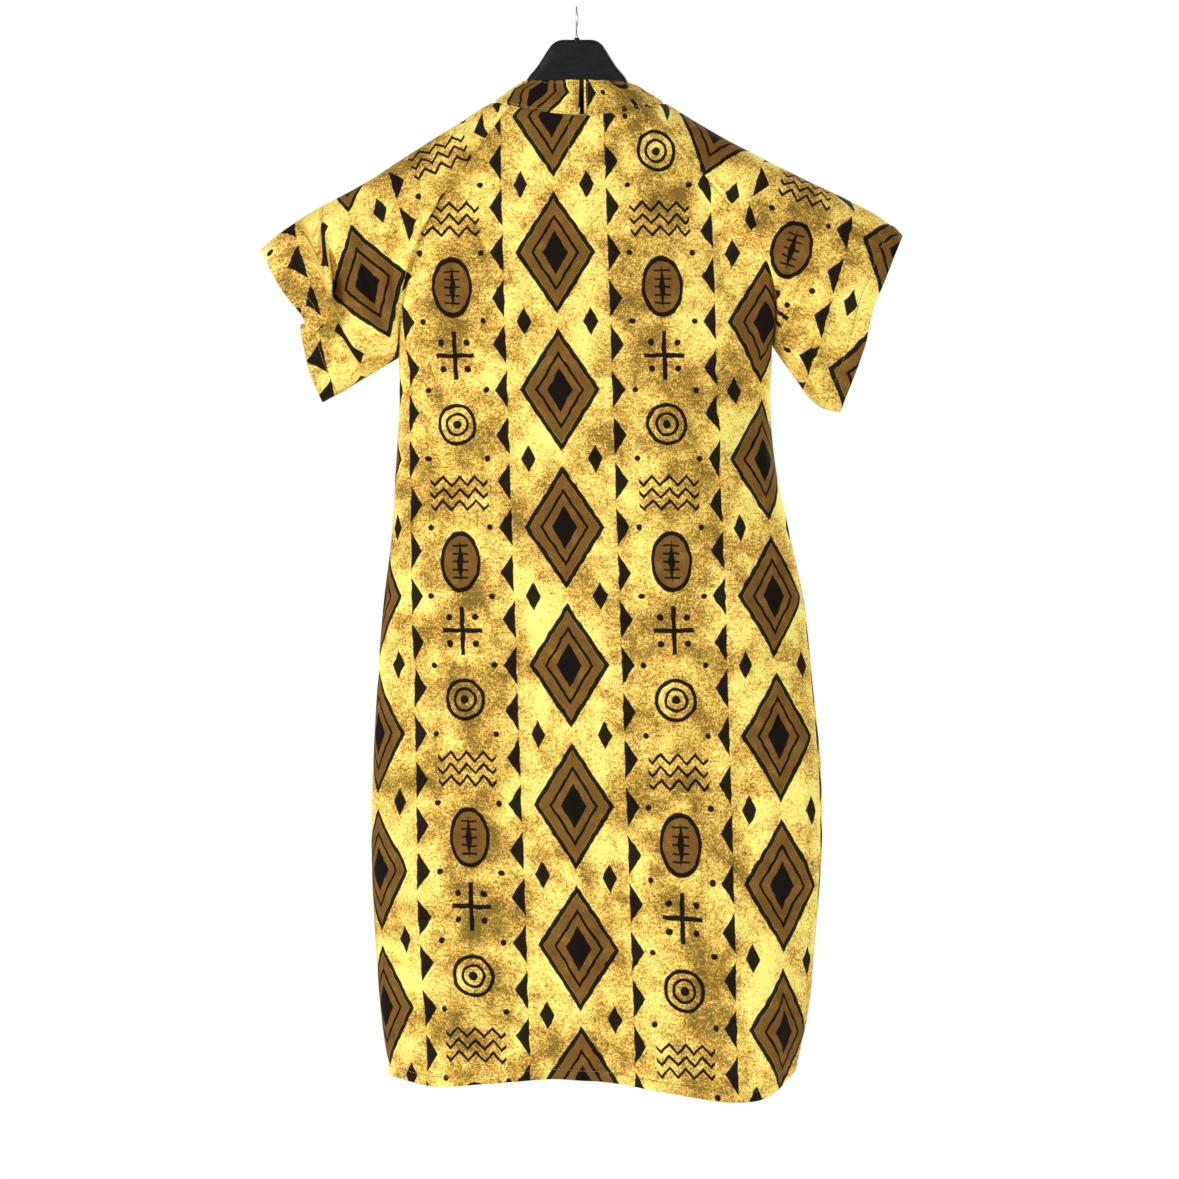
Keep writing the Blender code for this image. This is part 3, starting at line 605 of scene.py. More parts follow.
def corner_normals(grid):
    """Each point's direction, as the sum over the squares round it, by the angle each one fills."""
    places, corners = square_corners(grid)
    total = np.zeros_like(grid)
    for number, place in enumerate(places):
        onward = corners[(number + 1) % 4] - corners[number]
        backward = corners[number - 1] - corners[number]
        across = np.cross(onward, backward)
        angle = np.arctan2(np.linalg.norm(across, axis=-1), (onward * backward).sum(axis=-1))
        total[place] += unit(across) * angle[..., None]
    return total


def shared_normals(grids):
    """Every piece's directions; points that meet at a seam get one."""
    normals = {name: corner_normals(grid) * WINDING[name] for name, grid in grids.items()}
    rounded = {name: np.round(grid, 2).reshape(-1, 3) + 0.0 for name, grid in grids.items()}
    keys = {name: [tuple(spot) for spot in spots] for name, spots in rounded.items()}
    meeting = {}
    for name in grids:
        for spot, normal in zip(keys[name], normals[name].reshape(-1, 3)):
            meeting[spot] = meeting.get(spot, 0) + normal
    return {
        name: unit(np.array([meeting[spot] for spot in keys[name]])).reshape(grid.shape)
        for name, grid in grids.items()
    }


def lengths(grid, axis):
    """How far along each row or column of a grid its points lie."""
    steps = np.linalg.norm(np.diff(grid, axis=axis), axis=-1)
    return np.insert(np.cumsum(steps, axis=axis), 0, 0, axis=axis)


def surface_area(grid):
    _, (first, second, third, last) = square_corners(grid)
    halves = np.cross(second - first, last - first), np.cross(second - third, last - third)
    return sum(np.linalg.norm(half, axis=-1).sum() for half in halves) / 2


def smoothed_down(grid):
    """The panel with its depth averaged over a few millimetres down each column, except at its edges."""
    from_left = lengths(grid, 1)
    seam = np.minimum(from_left, from_left[:, -1:] - from_left)
    drop, depth = -grid[..., 2], grid[..., 1]
    near = bell(drop[:, None] - drop[None], SMOOTH_REACH) * np.abs(np.gradient(drop, axis=0))[None]
    average = (near * depth[None]).sum(axis=1) / near.sum(axis=1)
    row = np.arange(len(grid))
    inside = smooth_step(np.minimum(row, row[::-1]) / SMOOTH_EDGE_ROWS)[:, None]
    result = grid.copy()
    result[..., 1] += (average - depth) * smooth_step(seam / SMOOTH_FADE) * inside
    return result


def crease_height(name, grid):
    """What the creases add, each a soft line that tapers to both ends."""
    x, drop = grid[..., 0], -grid[..., 2]
    total = np.zeros(x.shape)
    for line in table(Line, *CREASES[name]):
        run = np.array([line.x2 - line.x1, line.drop2 - line.drop1], float)
        size = np.hypot(*run)
        t = ((x - line.x1) * run[0] + (drop - line.drop1) * run[1]) / size**2
        off = ((x - line.x1) * run[1] - (drop - line.drop1) * run[0]) / size
        arc = np.sin(np.clip(t, 0, 1) * pi)
        far = np.hypot((off - CREASE_BOW * size * arc) / line.width, CREASE_ROUND)
        profile = np.exp(CREASE_SHARPNESS * (CREASE_ROUND - far))
        total += CREASE_DEPTH * line.height * arc**CREASE_TAPER * profile
    return total


def flutes(grid):
    """The soft upright waves that the skirt falls into below the waist."""
    x, drop = grid[..., 0], -grid[..., 2]
    grown = smooth_step((drop - FLUTES_START) / FLUTES_GROW)
    wander = 0.9 * np.sin(drop / 150 + x / 90) + 0.35 * np.sin(drop / 61)
    broad = np.sin(x / 12.5 + wander + 0.6) * (0.65 + 0.35 * np.sin(x / 41 + 1.0))
    narrow = np.sin(x / 6.1 - wander + 2.0) * (0.5 + 0.5 * np.sin(x / 29 - 0.4))
    return grown * (BROAD_FLUTE * broad + NARROW_FLUTE * narrow)


def unevenness(grid):
    """The slight waves that no cloth is without."""
    x, y, drop = grid[..., 0], grid[..., 1], -grid[..., 2]
    long_waves = np.sin(x / 21 + 1.3 + y / 60) * np.sin(drop / 29 + 0.7)
    short_waves = np.sin(x / 9.5 - drop / 17 + 2.1) * np.sin(drop / 13 + x / 31)
    return LONG_WAVE * long_waves + SHORT_WAVE * short_waves


def relief(name, grid):
    """How far each point is moved out of its smooth form, and how thick the cloth is there."""
    from_left, from_top = lengths(grid, 1), lengths(grid, 0)
    from_end = from_top[-1:] - from_top
    seam = np.minimum(from_left, from_left[:, -1:] - from_left)
    if name == "collar":
        seam, free, hem_depth = from_end, np.minimum(from_top, seam), COLLAR_STITCHES
    else:
        seam, free = np.minimum(seam, from_top), from_end
        hem_depth = CUFF_HEM_DEPTH if name in SIDES else HEM_DEPTH
    fade = smooth_step(seam / EDGE_FADE)
    in_hem = 1 - smooth_step((free - hem_depth + 1) / 2)
    out = (crease_height(name, grid) + unevenness(grid)) * fade
    if name in ("front", "back"):
        out += flutes(grid) * smooth_step(seam / FLUTE_FADE)
    out -= SEAM_DIP * bell(seam, SEAM_WIDTH)
    if name in SIDES:
        turn = sleeve_row(lambda layer: half_turn(layer.sleeve_columns))
        out -= CUFF_TURN * np.maximum(hem_depth + 1 - free, 0) * np.sin(turn)
    out += HEM_STANDS * in_hem * fade
    out -= STITCH_GROOVE * bell(free - hem_depth, STITCH_GROOVE_WIDTH) * fade
    pucker = np.sin(from_left / PUCKER_LENGTH + 1.2 * np.sin(from_left / 17))
    out += HEM_PUCKER * pucker * bell(free - hem_depth, PUCKER_WIDTH) * fade
    if name == "collar":
        out -= COLLAR_FOLD * bell(free, COLLAR_FOLD_WIDTH)
        return out, np.full(free.shape, COLLAR_THICKNESS)
    return out, CLOTH_THICKNESS * (1 + in_hem)


def print_places(name, grid):
    """Where each point lies on the printed cloth, across and down its grain."""
    x, drop, along = grid[..., 0], -grid[..., 2], lengths(grid, 1)
    if name == "collar":
        across, down = COLLAR_PRINT
        round_base = np.broadcast_to(along[-1] - along[-1, -1] / 2, along.shape)
        return np.stack([round_base + across, lengths(grid, 0) + down], axis=-1)
    if name not in SIDES:
        rows = []
        for row_x, row_drop, row_along in zip(x, drop, along):
            grain = GRAIN_TOP + GRAIN_LEAN * (row_drop.mean() - GRAIN_STARTS)
            rows.append(row_along - np.interp(grain, row_x, row_along))
        across = np.array(rows)
        if name == "back":
            across = COLUMN_PITCH / 2 - across
        sag = smooth_step((drop - SAG_STARTS) / SAG_GROWS) * np.maximum(x - SAG_FROM, 0) * GRAIN_SAG
        return np.stack([across, drop - GRAIN_STARTS - sag], axis=-1)
    points = np.stack([x, drop], axis=-1)
    top, middle = FRONT.sleeve_columns, int(FRONT.sleeve_columns * SLEEVE_MIDDLE)
    ridge = points[:, top : top + 1]
    down_sleeve = unit(points[:, :1] - ridge)
    from_middle = along[:, middle : middle + 1] - along
    flat = points[:, middle : middle + 1] + down_sleeve * from_middle[..., None]
    past_ridge = np.maximum(along - along[:, top : top + 1], 0)[..., None]
    behind = ridge - down_sleeve[-1] * past_ridge
    flat = between(flat, behind, smooth_step(past_ridge / BACK_PRINT_STARTS))
    lean = SIDES[name].sign * SLEEVE_TILT
    across = flat[..., 0] * cos(lean) + flat[..., 1] * sin(lean)
    down = flat[..., 1] * cos(lean) - flat[..., 0] * sin(lean)
    return np.stack([across + SIDES[name].print_offset, down], axis=-1)


def plug(tree, value, socket):
    """Link a field or a socket to another socket, or set that one to a constant."""
    if isinstance(value, Field):
        tree.links.new(value.socket, socket)
    elif isinstance(value, bpy.types.NodeSocket):
        tree.links.new(value, socket)
    elif isinstance(value, tuple) and socket.type == "RGBA":
        socket.default_value = (*value, 1)
    else:
        socket.default_value = value


def add_node(tree, kind, **inputs):
    """A shader node, with its inputs plugged by their names."""
    node = tree.nodes.new("ShaderNode" + kind)
    for name, value in inputs.items():
        plug(tree, value, node.inputs[name])
    return node


class Field:
    """A number that varies from place to place, as a chain of Math nodes."""

    def __init__(self, tree, socket):
        self.tree, self.socket = tree, socket

    def math(self, operation, *others, clamp=False):
        node = self.tree.nodes.new("ShaderNodeMath")
        node.operation = operation
        node.use_clamp = clamp
        for place, value in enumerate((self, *others)):
            plug(self.tree, value, node.inputs[place])
        return Field(self.tree, node.outputs[0])

    __add__ = partialmethod(math, "ADD")
    __sub__ = partialmethod(math, "SUBTRACT")
    __mul__ = partialmethod(math, "MULTIPLY")
    __truediv__ = partialmethod(math, "DIVIDE")
    size = partialmethod(math, "ABSOLUTE")
    least = partialmethod(math, "MINIMUM")
    most = partialmethod(math, "MAXIMUM")

    def repeated(self, pitch):
        """The distance from the nearest multiple of the pitch."""
        return self.math("WRAP", pitch / 2, -pitch / 2)

    def inside(self, softness=0.7):
        """1 where the number is below 0, with a soft edge."""
        return (self * (-1 / softness)).math("ADD", 0.5, clamp=True)


def diamond(across, down, half_width, half_height):
    slope = half_width * half_height / hypot(half_width, half_height)
    return (across.size() / half_width + down.size() / half_height - 1) * slope


def ring(across, down, radius, half_line):
    far = (across * across + down * down).math("SQRT")
    return (far - radius).size() - half_line


def bar(across, down, half_width, half_height):
    return (across.size() - half_width).most(down.size() - half_height)


def triangle_row(across, down, reach, pitch, half_height):
    """Teeth that point outwards from a line."""
    tooth = down.repeated(pitch).size() * (reach / half_height)
    return (across + tooth - reach).most(across * -1)


def zigzag(across, down, pitch, height, half_line, half_width):
    wave = across.repeated(pitch).size() * (height * 2 / pitch)
    return ((down - wave + height / 2).size() - half_line).most(across.size() - half_width)


def least(*fields):
    """The shape that several shapes make together."""
    whole = fields[0]
    for field in fields[1:]:
        whole = whole.least(field)
    return whole


def noise(tree, vector, scale, detail=2.0, roughness=0.5, stretch=(1, 1, 1), shift=(0, 0, 0)):
    mapping = add_node(tree, "Mapping", Vector=vector, Scale=stretch, Location=shift)
    texture = add_node(tree, "TexNoise", Vector=mapping.outputs["Vector"], Scale=scale, Detail=detail,
                       Roughness=roughness)
    return Field(tree, texture.outputs["Fac"])


def ramp(tree, value, stops):
    node = add_node(tree, "ValToRGB", Fac=value)
    elements = node.color_ramp.elements
    while len(elements) < len(stops):
        elements.new(0.5)
    for element, (place, colour) in zip(elements, stops):
        element.position = place
        element.color = (*colour, 1)
    return node.outputs["Color"]


def mix(tree, share, below, above):
    node = tree.nodes.new("ShaderNodeMix")
    node.data_type = "RGBA"
    for value, place in ((share, 0), (below, 6), (above, 7)):
        plug(tree, value, node.inputs[place])
    return node.outputs[2]


def bump(tree, height, strength, distance):
    return add_node(tree, "Bump", Height=height, Strength=strength, Distance=distance).outputs["Normal"]


def new_material(name):
    material = bpy.data.materials.new(name)
    material.use_nodes = True
    return material, material.node_tree


def shaded(material, inputs):
    """The material, with its shader's inputs plugged."""
    shader = material.node_tree.nodes["Principled BSDF"]
    for name, value in inputs.items():
        plug(material.node_tree, value, shader.inputs[name])
    return material


def axes(tree, vector):
    """The first two numbers of a vector, as fields."""
    parts = add_node(tree, "SeparateXYZ", Vector=vector)
    return Field(tree, parts.outputs["X"]), Field(tree, parts.outputs["Y"])


def print_masks(tree, vector):
    """The print's brown and black shapes, and the distance from the middle of a column of marks."""
    wobbles = [noise(tree, vector, 0.09, 1.0, shift=shift) for shift in ((0, 0, 0), (70, 30, 0))]
    u, v = (place + (wobble - 0.5) * PRINT_WOBBLE for place, wobble in zip(axes(tree, vector), wobbles))
    band = (u / COLUMN_PITCH + 0.5).math("FLOOR")
    half_drop = band.math("FLOORED_MODULO", 2.0) * (DIAMOND_PITCH / 2)
    across = u.repeated(COLUMN_PITCH)
    down = (v + half_drop).repeated(DIAMOND_PITCH)
    between_diamonds = (v + half_drop + DIAMOND_PITCH / 2).repeated(DIAMOND_PITCH)
    body = diamond(across, down, *DIAMOND)
    bands = [
        diamond(across, down, *OUTLINE).most(body * -1),
        diamond(across, down, *INNER_LINE).size() - INNER_LINE_HALF,
        diamond(across, down, *CORE),
        diamond(across.size() - TIP_OFFSET, between_diamonds, *TIP),
        triangle_row(across.size() - TEETH_OFFSET, v + half_drop, *TEETH),
    ]

    middle = (u + COLUMN_PITCH / 2).repeated(COLUMN_PITCH)
    first, second, third, fourth = ((v - start).repeated(MARK_PITCH) for start in MARK_ROWS)
    oval_x, oval_y = middle / OVAL[0], third / OVAL[1]
    oval_far = (oval_x * oval_x + oval_y * oval_y).math("SQRT")
    oval = (oval_far - 1) * OVAL[0]
    marks = [
        *(ring(middle, first, *sizes) for sizes in TARGET),
        *(zigzag(middle, second - offset, *WAVE) for offset in (0, WAVE_SPACING, -WAVE_SPACING)),
        oval.size() - OVAL_LINE_HALF,
        diamond(middle, third, *OVAL_SLIT),
        bar(middle, third.repeated(OVAL_RUNG_PITCH), *OVAL_RUNG).most(third.size() - OVAL_RUNGS_END),
        bar(middle, fourth, *CROSS),
        bar(middle, fourth, *CROSSBAR),
        ring(middle.size() - CROSS_DOT_OFFSET, fourth.size() - CROSS_DOT_OFFSET, *CROSS_DOT),
        ring(middle.size() - SIDE_DOT_OFFSET, (v - 68).repeated(DIAMOND_PITCH / 2), *SIDE_DOT),
    ]
    return body.least(oval).inside(), least(*bands, *marks).inside(), middle


def cloth_material(name, faded):
    """Printed plain-weave cotton, or its paler wrong side."""
    material, tree = new_material(name)
    places = add_node(tree, "Attribute")
    places.attribute_name = "print_mm"
    vector = places.outputs["Vector"]
    brown, black, middle = print_masks(tree, vector)

    patches = noise(tree, vector, 0.017, 2.0, 0.45, shift=(11, 5, 0)) - 0.5
    clouds = noise(tree, vector, 0.055, 3.0, 0.6, shift=(3, 40, 0)) - 0.5
    grain = noise(tree, vector, 0.55, 3.0, 0.75) - 0.5
    specks = noise(tree, vector, 0.26, 2.0, 0.6, shift=(20, 9, 0)) - 0.5
    beside = ((middle.size() * -1 + 46) * 0.004).most(-0.14)
    tone = patches * 1.9 + clouds * 1.4 + grain * 2.6 + specks * 1.2 + beside + 0.49
    rub = grain * 1.2 + clouds * 1.2 + 0.5
    worn_brown = ramp(tree, rub, ((0.2, DARK_BROWN), (0.62, BROWN), (1.0, OLIVE)))
    printed = mix(tree, brown, ramp(tree, tone, GROUND), worn_brown)
    printed = mix(tree, black * 0.988, printed, INK)
    if faded:
        printed = mix(tree, (clouds + 0.5) * 0.35 + 0.22, printed, REVERSE)

    warp, weft = ((place * (2 * pi / YARN_PITCH)).math("SINE") for place in axes(tree, vector))
    slubs = noise(tree, vector, 0.7, 2.0, 0.6, stretch=(1, 0.12, 1))
    rumple = noise(tree, vector, 0.045, 3.0, 0.55, shift=(9, 1, 0))
    height = warp * weft * 0.03 + (slubs - 0.5) * 0.05 + (rumple - 0.5) * 2.2
    return shaded(material, {
        "Base Color": printed,
        "Roughness": slubs * 0.12 + 0.72 - black * 0.10,
        "Specular IOR Level": 0.06,
        "Sheen Weight": 0.01,
        "Sheen Roughness": 0.5,
        "Normal": bump(tree, height, 0.7, MM),
    })


def object_places(tree):
    return add_node(tree, "TexCoord").outputs["Object"]


def thread_material():
    """Twisted gold-brown thread."""
    material, tree = new_material("sewing_thread")
    twist = noise(tree, object_places(tree), 2500.0, 2.0)
    colour = ramp(tree, twist, ((0.3, (0.22, 0.12, 0.024)), (0.7, (0.40, 0.24, 0.05))))
    return shaded(material, {"Base Color": colour, "Roughness": 0.55})


def plastic_material():
    """Black moulded plastic with a fine spark-eroded grain and faint scuffs."""
    material, tree = new_material("black_plastic")
    place = object_places(tree)
    grain = noise(tree, place, 1400.0, 2.0, 0.6)
    scuffs = noise(tree, place, 60.0, 4.0, 0.6, stretch=(1, 1, 4))
    return shaded(material, {
        "Base Color": ramp(tree, scuffs, ((0.35, (0.005, 0.005, 0.006)), (0.75, (0.012, 0.012, 0.014)))),
        "Roughness": scuffs * 0.22 + 0.36,
        "Specular IOR Level": 0.26,
        "Normal": bump(tree, grain, 0.35, 0.05 * MM),
    })


def steel_material():
    """Zinc-plated wire with drawn streaks along it."""
    material, tree = new_material("steel_wire")
    place = object_places(tree)
    streaks = noise(tree, place, 900.0, 3.0, 0.6, stretch=(1, 1, 0.05))
    dull = noise(tree, place, 150.0, 2.0)
    return shaded(material, {
        "Base Color": ramp(tree, dull, ((0.3, (0.52, 0.52, 0.53)), (0.7, (0.68, 0.68, 0.69)))),
        "Roughness": streaks * 0.2 + 0.36,
        "Metallic": 1.0,
    })


def add_to_scene(name, data, place=(0, 0, 0), rotation=(0, 0, 0)):
    made = bpy.data.objects.new(name, data)
    made.location = place
    made.rotation_euler = rotation
    bpy.context.scene.collection.objects.link(made)
    return made


def make_object(name, points, faces, materials, smooth_angle=50):
    mesh = bpy.data.meshes.new(name)
    mesh.from_pydata((np.asarray(points) * MM).tolist(), [], faces)
    mesh.update()
    for material in materials:
        mesh.materials.append(material)
    mesh.shade_smooth()
    mesh.set_sharp_from_angle(angle=radians(smooth_angle))
    return add_to_scene(name, mesh)


def cloth_shell(name, outer, normals, thickness, places, materials):
    """A closed shell: the outer face, the wrong side a cloth's thickness behind it, and the edges."""
    inner = outer - normals * thickness[..., None]
    points = np.concatenate([outer.reshape(-1, 3), inner.reshape(-1, 3)])
    count = len(points) // 2
    numbers = np.arange(count).reshape(outer.shape[:2])
    rim = np.concatenate([numbers[0, :-1], numbers[:-1, -1], numbers[-1, :0:-1], numbers[:0:-1, 0]])
    following = np.roll(rim, -1)
    outside = np.stack(square_corners(numbers)[1], axis=-1).reshape(-1, 4)
    edges = np.stack([rim + count, following + count, following, rim], axis=-1)
    inside = outside[:, ::-1] + count
    faces = np.concatenate([outside, edges, inside])
    if WINDING[name] < 0:
        faces = faces[:, ::-1]
    made = make_object(name + "_cloth", points, faces.tolist(), materials)
    wrong_side = np.arange(len(faces)) >= len(outside) + len(edges)
    made.data.polygons.foreach_set("material_index", wrong_side.astype(np.int32))
    attribute = made.data.attributes.new("print_mm", "FLOAT_VECTOR", "POINT")
    flat = np.pad(places.reshape(-1, 2), ((0, 0), (0, 1)))
    attribute.data.foreach_set("vector", np.tile(flat.ravel(), 2).astype(np.float32))
    return made


def loft_faces(rings, sides, first=0):
    """Faces between closed rings, with a flat end at each side."""
    faces = []
    for low in range(first, first + (rings - 1) * sides, sides):
        for side in range(sides):
            after = (side + 1) % sides
            faces.append([low + side, low + after, low + sides + after, low + sides + side])
    faces.append([first + side for side in reversed(range(sides))])
    faces.append([first + (rings - 1) * sides + side for side in range(sides)])
    return faces


def interpolate(at, far, rows):
    """Points or directions at given distances along a line of them."""
    return np.stack([np.interp(at, far, rows[:, axis]) for axis in range(3)], axis=-1)


def stitches_along(path, normals, stitch):
    """Points and faces of a row of stitches, each a small spindle that lies on the cloth."""
    far = lengths(path, 0)
    pitch = stitch.length + stitch.gap
    middles = np.arange(pitch, far[-1] - pitch, pitch)
    centre = interpolate(middles, far, path)
    normal = unit(interpolate(middles, far, normals))
    forward = unit(interpolate(middles + 0.5, far, path) - centre)
    side = unit(np.cross(normal, forward))
    turn = full_turn(STITCH_SIDES)[:, None]
    along, wide = np.array(STITCH_SWELL).T[..., None]
    sink = stitch.rise - stitch.sink * np.abs(along) ** 3
    middle = centre[:, None] + forward[:, None] * along * stitch.length / 2 + normal[:, None] * sink
    spokes = side[:, None] * np.cos(turn) + normal[:, None] * np.sin(turn)
    points = middle[:, :, None] + spokes[:, None] * stitch.radius * wide[..., None]
    faces = []
    for first in range(0, points.size // 3, STITCH_SIDES * len(STITCH_SWELL)):
        faces += loft_faces(len(STITCH_SWELL), STITCH_SIDES, first)
    return points.reshape(-1, 3).tolist(), faces


def row_at(surface, normals, depth, from_end=True):
    """The line that lies a depth above the last row, or below the first, of a piece."""
    if from_end:
        surface, normals = surface[::-1], normals[::-1]
    far = lengths(surface, 0)
    line, directions = (
        np.array([interpolate(depth, far[:, place], rows[:, place]) for place in range(far.shape[1])])
        for rows in (surface, normals)
    )
    return line, unit(directions)


def points_on_front(surface, normals, corners):
    """A line over the front through corners given across and by their drop."""
    flat, directions = surface.reshape(-1, 3), normals.reshape(-1, 3)
    ends = zip(corners[:-1], corners[1:])
    steps = [np.linspace(start, end, int(dist(start, end)), endpoint=False) for start, end in ends]
    x, drop = np.concatenate(steps).T[..., None]
    far = (flat[:, 0] - x) ** 2 + (flat[:, 2] + drop) ** 2
    near = np.argsort(far)[:, :4]
    weight = 1 / (np.take_along_axis(far, near, 1) + 0.01)
    weight = (weight / weight.sum(axis=1, keepdims=True))[..., None]
    depth = (flat[near] * weight).sum(axis=1)[:, 1:2]
    return np.hstack([x, depth, -drop]), unit((directions[near] * weight).sum(axis=1))


def make_stitches(surfaces, normals, thread):
    """The hem, cuff, collar and facing stitches, one joined mesh for each piece of cloth."""
    made = []
    for name, surface in surfaces.items():
        cloth = surface, normals[name]
        if name == "collar":
            turned = [part.transpose(1, 0, 2) for part in cloth]
            paths = [row_at(*cloth, COLLAR_STITCHES, from_end=False), row_at(*cloth, COLLAR_FOOT_STITCHES)]
            paths += [row_at(*turned, COLLAR_END_STITCHES, from_end) for from_end in (False, True)]
        else:
            paths = [row_at(*cloth, CUFF_HEM_DEPTH if name in SIDES else HEM_DEPTH)]
        if name == "front":
            upper = (part[: YOKE_ROWS // 2] for part in cloth)
            paths.append(points_on_front(*upper, FACING))
        points, faces = [], []
        for line, directions in paths:
            more_points, more_faces = stitches_along(line, directions, STITCH)
            faces += [[corner + len(points) for corner in face] for face in more_faces]
            points += more_points
        made.append(make_object(f"stitches_{name}", points, faces, [thread]))
    return made


def hanger_top(across):
    """The drop of the hanger's top edge: the hump, then just inside the cloth's shoulder."""
    side = LEFT if across < 0 else RIGHT
    reach, start = abs(across), abs(side.shoulder[0].across)
    slope = (shoulder_drop(side, ARM_REACH) - side.shoulder[0].drop) / (ARM_REACH - start)
    under_cloth = (SOLID_CLOTH + HANGER_SEAT) * hypot(1, slope)
    if reach >= start:
        return shoulder_drop(side, reach) + under_cloth
    return curve(HUMP + (Point(start, side.shoulder[0].drop + under_cloth),), "across", "drop", reach)


def make_hanger(material):
    """The broad hanger, with its moulding line, and the boss that the hook comes out of."""
    half = np.sin(np.linspace(0, pi / 2, HANGER_STATIONS // 2 + 1)) * ARM_REACH
    stations = np.concatenate([-half[::-1], half[1:]])
    turn = full_turn(HANGER_SIDES)
    sine, cosine = np.sin(turn), np.cos(turn)
    side = np.sign(sine) * np.abs(sine) ** ARM_SECTION
    moulding_line = MOULDING_LINE * bell(sine, MOULDING_WIDTH) * cosine
    points = []
    for across in stations:
        reach = abs(across)
        height = between(HUMP_BOTTOM - HUMP[0].drop, ARM_HEIGHT, smooth_step(reach / HUMP_REACH))
        thicker = smooth_step(reach / ARM_FULL_THICKNESS_AT)
        thickness = between(HUMP_HALF_THICKNESS, ARM_HALF_THICKNESS, thicker)
        from_end = np.clip((ARM_REACH - reach) / ARM_END, 0, 1)
        rounded = between(ARM_END_SHARE, 1, sqrt(1 - (1 - from_end) ** 2))
        drop = hanger_top(across) + height * ((1 - rounded) / 4 + rounded * (1 - cosine) / 2) - moulding_line
        ring_points = np.full(HANGER_SIDES, across), thickness * rounded * side, -drop
        points += np.stack(ring_points, axis=-1).tolist()
    faces = loft_faces(len(stations), HANGER_SIDES)
    bore = HOOK_WIRE + HOOK_GAP
    boss = ((BOSS_FOOT, -2), (BOSS_FOOT, 0.2), (BOSS_TIP + 0.3, BOSS_HEIGHT - 0.6),
            (BOSS_TIP, BOSS_HEIGHT - 0.1), (BOSS_TIP - 0.1, BOSS_HEIGHT), (bore, BOSS_HEIGHT), (bore, -1.5))
    faces += loft_faces(len(boss), BOSS_SIDES, len(points))
    for radius, above in boss:
        for angle in full_turn(BOSS_SIDES):
            points.append([radius * cos(angle), radius * sin(angle), above - HUMP[0].drop])
    return make_object("hanger_body", points, faces, [material], smooth_angle=35)


def hook_path():
    """The hook's middle line, turned edge-on to the front: a stem, a bend to the back and a round."""
    radius = HOOK_INSIDE + HOOK_WIRE
    low = -HUMP[0].drop - HOOK_SOCKET_DEPTH + HOOK_GAP
    stem = np.array([(0, 0, z) for z in np.linspace(low, -2 * radius - HOOK_BEND_HEIGHT, STEM_POINTS)])
    turn = np.linspace(HOOK_STARTS, HOOK_ENDS, ROUND_POINTS)
    arc = np.array([(0, radius * cos(a), -HOOK_INSIDE + radius * sin(a)) for a in turn])
    leaving = np.array([0, 0, HOOK_BEND_PULL])
    joining = HOOK_BEND_PULL * np.array([0, sin(HOOK_STARTS), -cos(HOOK_STARTS)])
    first, second, third, last = stem[-1], stem[-1] + leaving, arc[0] + joining, arc[0]
    bend = [
        (1 - t) ** 3 * first + 3 * (1 - t) ** 2 * t * second + 3 * (1 - t) * t**2 * third + t**3 * last
        for t in np.linspace(0, 1, BEND_POINTS)[1:-1]
    ]
    return np.concatenate([stem, bend, arc])


def make_hook(material):
    """The wire hook, with a domed end."""
    path = hook_path()
    tangents = unit(np.gradient(path, axis=0))
    radii = np.full(len(path), HOOK_WIRE)
    for share in HOOK_DOME:
        path = np.vstack([path, path[-1] + tangents[-1] * HOOK_WIRE / len(HOOK_DOME)])
        tangents = np.vstack([tangents, tangents[-1]])
        radii = np.append(radii, HOOK_WIRE * sqrt(1 - share**2))
    points = []
    side = np.array([1.0, 0.0, 0.0])
    for middle, tangent, radius in zip(path, tangents, radii):
        up = np.cross(tangent, side)
        points += [
            (middle + radius * (cos(a) * side + sin(a) * up)).tolist() for a in full_turn(HOOK_SIDES)
        ]
    return make_object("hook_wire", points, loft_faces(len(path), HOOK_SIDES), [material], smooth_angle=60)


def make_garment():
    """Every piece of cloth and its stitches, with the cloth's outer faces."""
    right_sleeve, right_angles = sleeve_grid(RIGHT)
    grids = {
        "front": smoothed_down(panel_grid(FRONT)),
        "back": smoothed_down(panel_grid(BACK)),
        "sleeve_left": sleeve_grid(LEFT)[0],
        "sleeve_right": right_sleeve,
        "collar": collar_grid(right_angles),
    }
    smooth = shared_normals(grids)
    cloth = [cloth_material("printed_cloth", False), cloth_material("printed_cloth_reverse", True)]
    surfaces, normals, shells = {}, {}, {}
    for name, grid in grids.items():
        out, thickness = relief(name, grid)
        surfaces[name] = grid + smooth[name] * out[..., None]
        normals[name] = unit(corner_normals(surfaces[name]) * WINDING[name])
        places = print_places(name, grid)
        shells[name] = cloth_shell(name, surfaces[name], smooth[name], thickness, places, cloth)
    return surfaces, shells, make_stitches(surfaces, normals, thread_material())


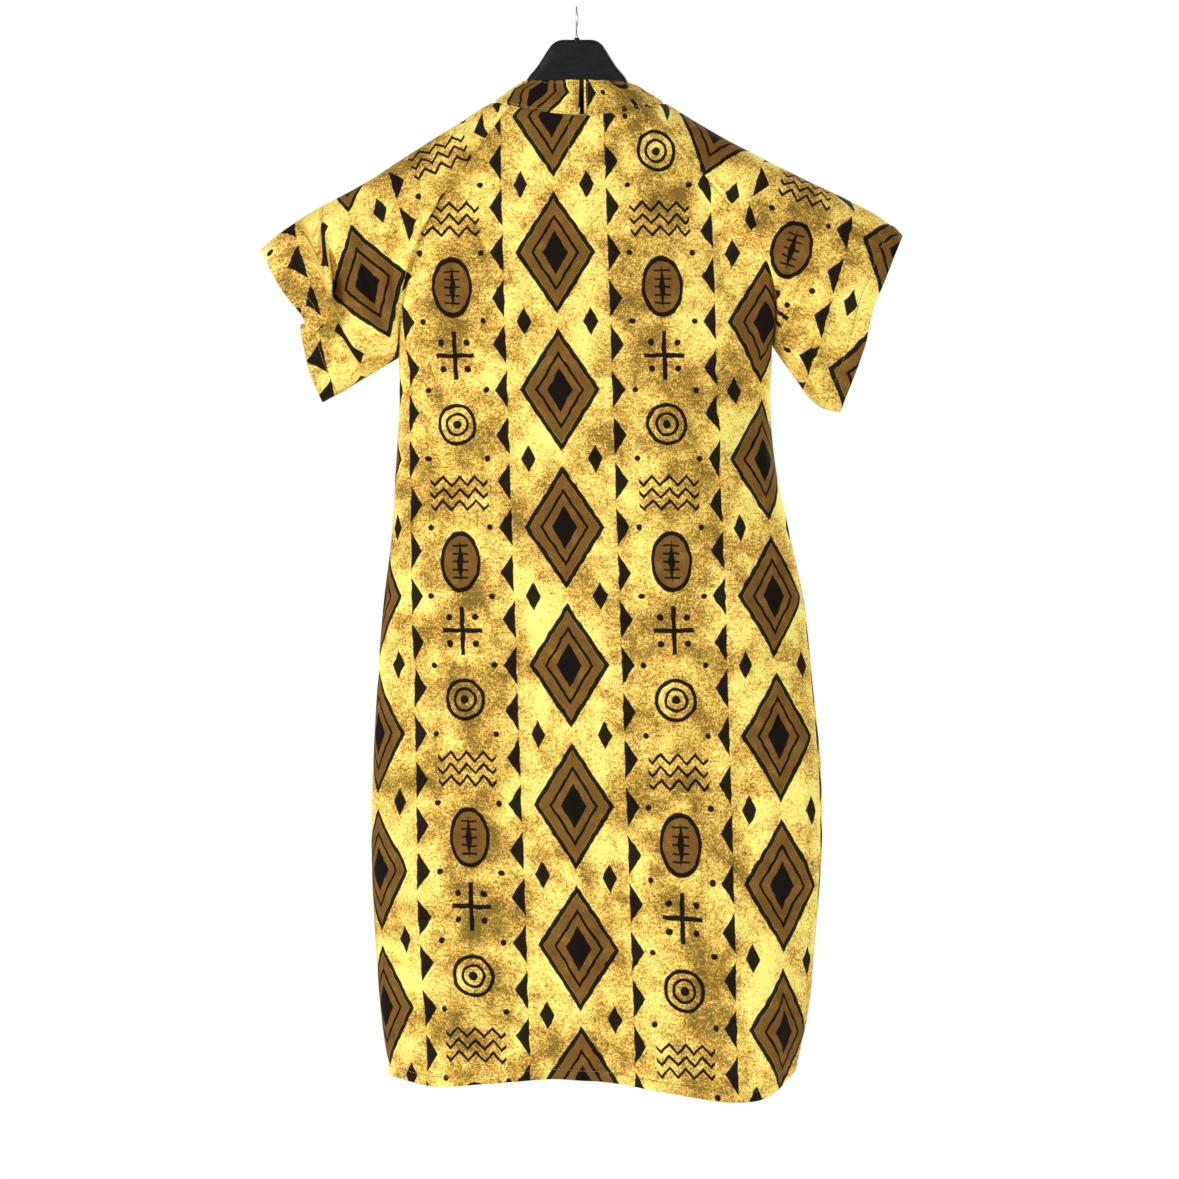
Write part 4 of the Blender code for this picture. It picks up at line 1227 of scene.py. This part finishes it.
def make_stage():
    """A pale floor, soft light all round and three lamps, and the camera straight in front."""
    scene = bpy.context.scene
    camera = bpy.data.cameras.new("camera")
    camera.sensor_width = SENSOR
    camera.sensor_fit = "HORIZONTAL"
    camera.lens = SENSOR * CAMERA_FAR / FRAME_WIDTH
    place = FRAME_MIDDLE + Vector((0, -CAMERA_FAR, 0))
    scene.camera = add_to_scene("camera", camera, place, (pi / 2, 0, 0))
    scene.view_settings.view_transform = "Standard"
    for lamp in LAMPS:
        light = bpy.data.lights.new(lamp.name, "AREA")
        light.shape = "DISK"
        light.size = lamp.size
        light.energy = lamp.power
        aim = (FRAME_MIDDLE - Vector(lamp.place)).to_track_quat("-Z", "Y").to_euler()
        add_to_scene(lamp.name, light, lamp.place, aim)

    scene.world = bpy.data.worlds.new("white_room")
    scene.world.use_nodes = True
    tree = scene.world.node_tree
    seen = Field(tree, add_node(tree, "LightPath").outputs["Is Camera Ray"])
    background = tree.nodes["Background"].inputs
    plug(tree, (1, 1, 1), background["Color"])
    plug(tree, seen * (1 - ROOM_LIGHT) + ROOM_LIGHT, background["Strength"])

    rim = full_turn(FLOOR_SIDES)
    points = [(FLOOR_RADIUS * cos(a), FLOOR_RADIUS * sin(a), -FLOOR_DROP) for a in rim]
    material = shaded(new_material("pale_floor")[0], {
        "Base Color": (0.93, 0.93, 0.92),
        "Roughness": 0.9,
        "Emission Color": (1, 1, 1),
        "Emission Strength": 0.2,
    })
    make_object("floor", points, [list(range(FLOOR_SIDES))], [material])


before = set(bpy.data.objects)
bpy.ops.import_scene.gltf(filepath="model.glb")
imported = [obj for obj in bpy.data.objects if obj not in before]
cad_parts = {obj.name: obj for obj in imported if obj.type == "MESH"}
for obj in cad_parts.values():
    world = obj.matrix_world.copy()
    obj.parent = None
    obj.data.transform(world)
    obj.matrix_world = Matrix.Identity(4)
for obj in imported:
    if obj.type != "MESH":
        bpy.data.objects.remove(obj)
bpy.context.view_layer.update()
make_stage()
surfaces, shells, stitches = make_garment()
hanger = make_hanger(plastic_material())
hook = make_hook(steel_material())
for name, shell in shells.items():
    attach(shell, "root")
    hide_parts(name)
for rows in stitches:
    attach(rows, "root")
for piece, node, slot in ((hanger, "hanger", "black_plastic"), (hook, "hook", "steel_wire")):
    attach(piece, "root")
    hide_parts(node)
for (name, surface), rows in zip(surfaces.items(), stitches):
    width = lengths(surface, 1).max() * MM
    length = lengths(surface, 0).max() * MM
    area = min(surface_area(surface) * MM**2, width * length)
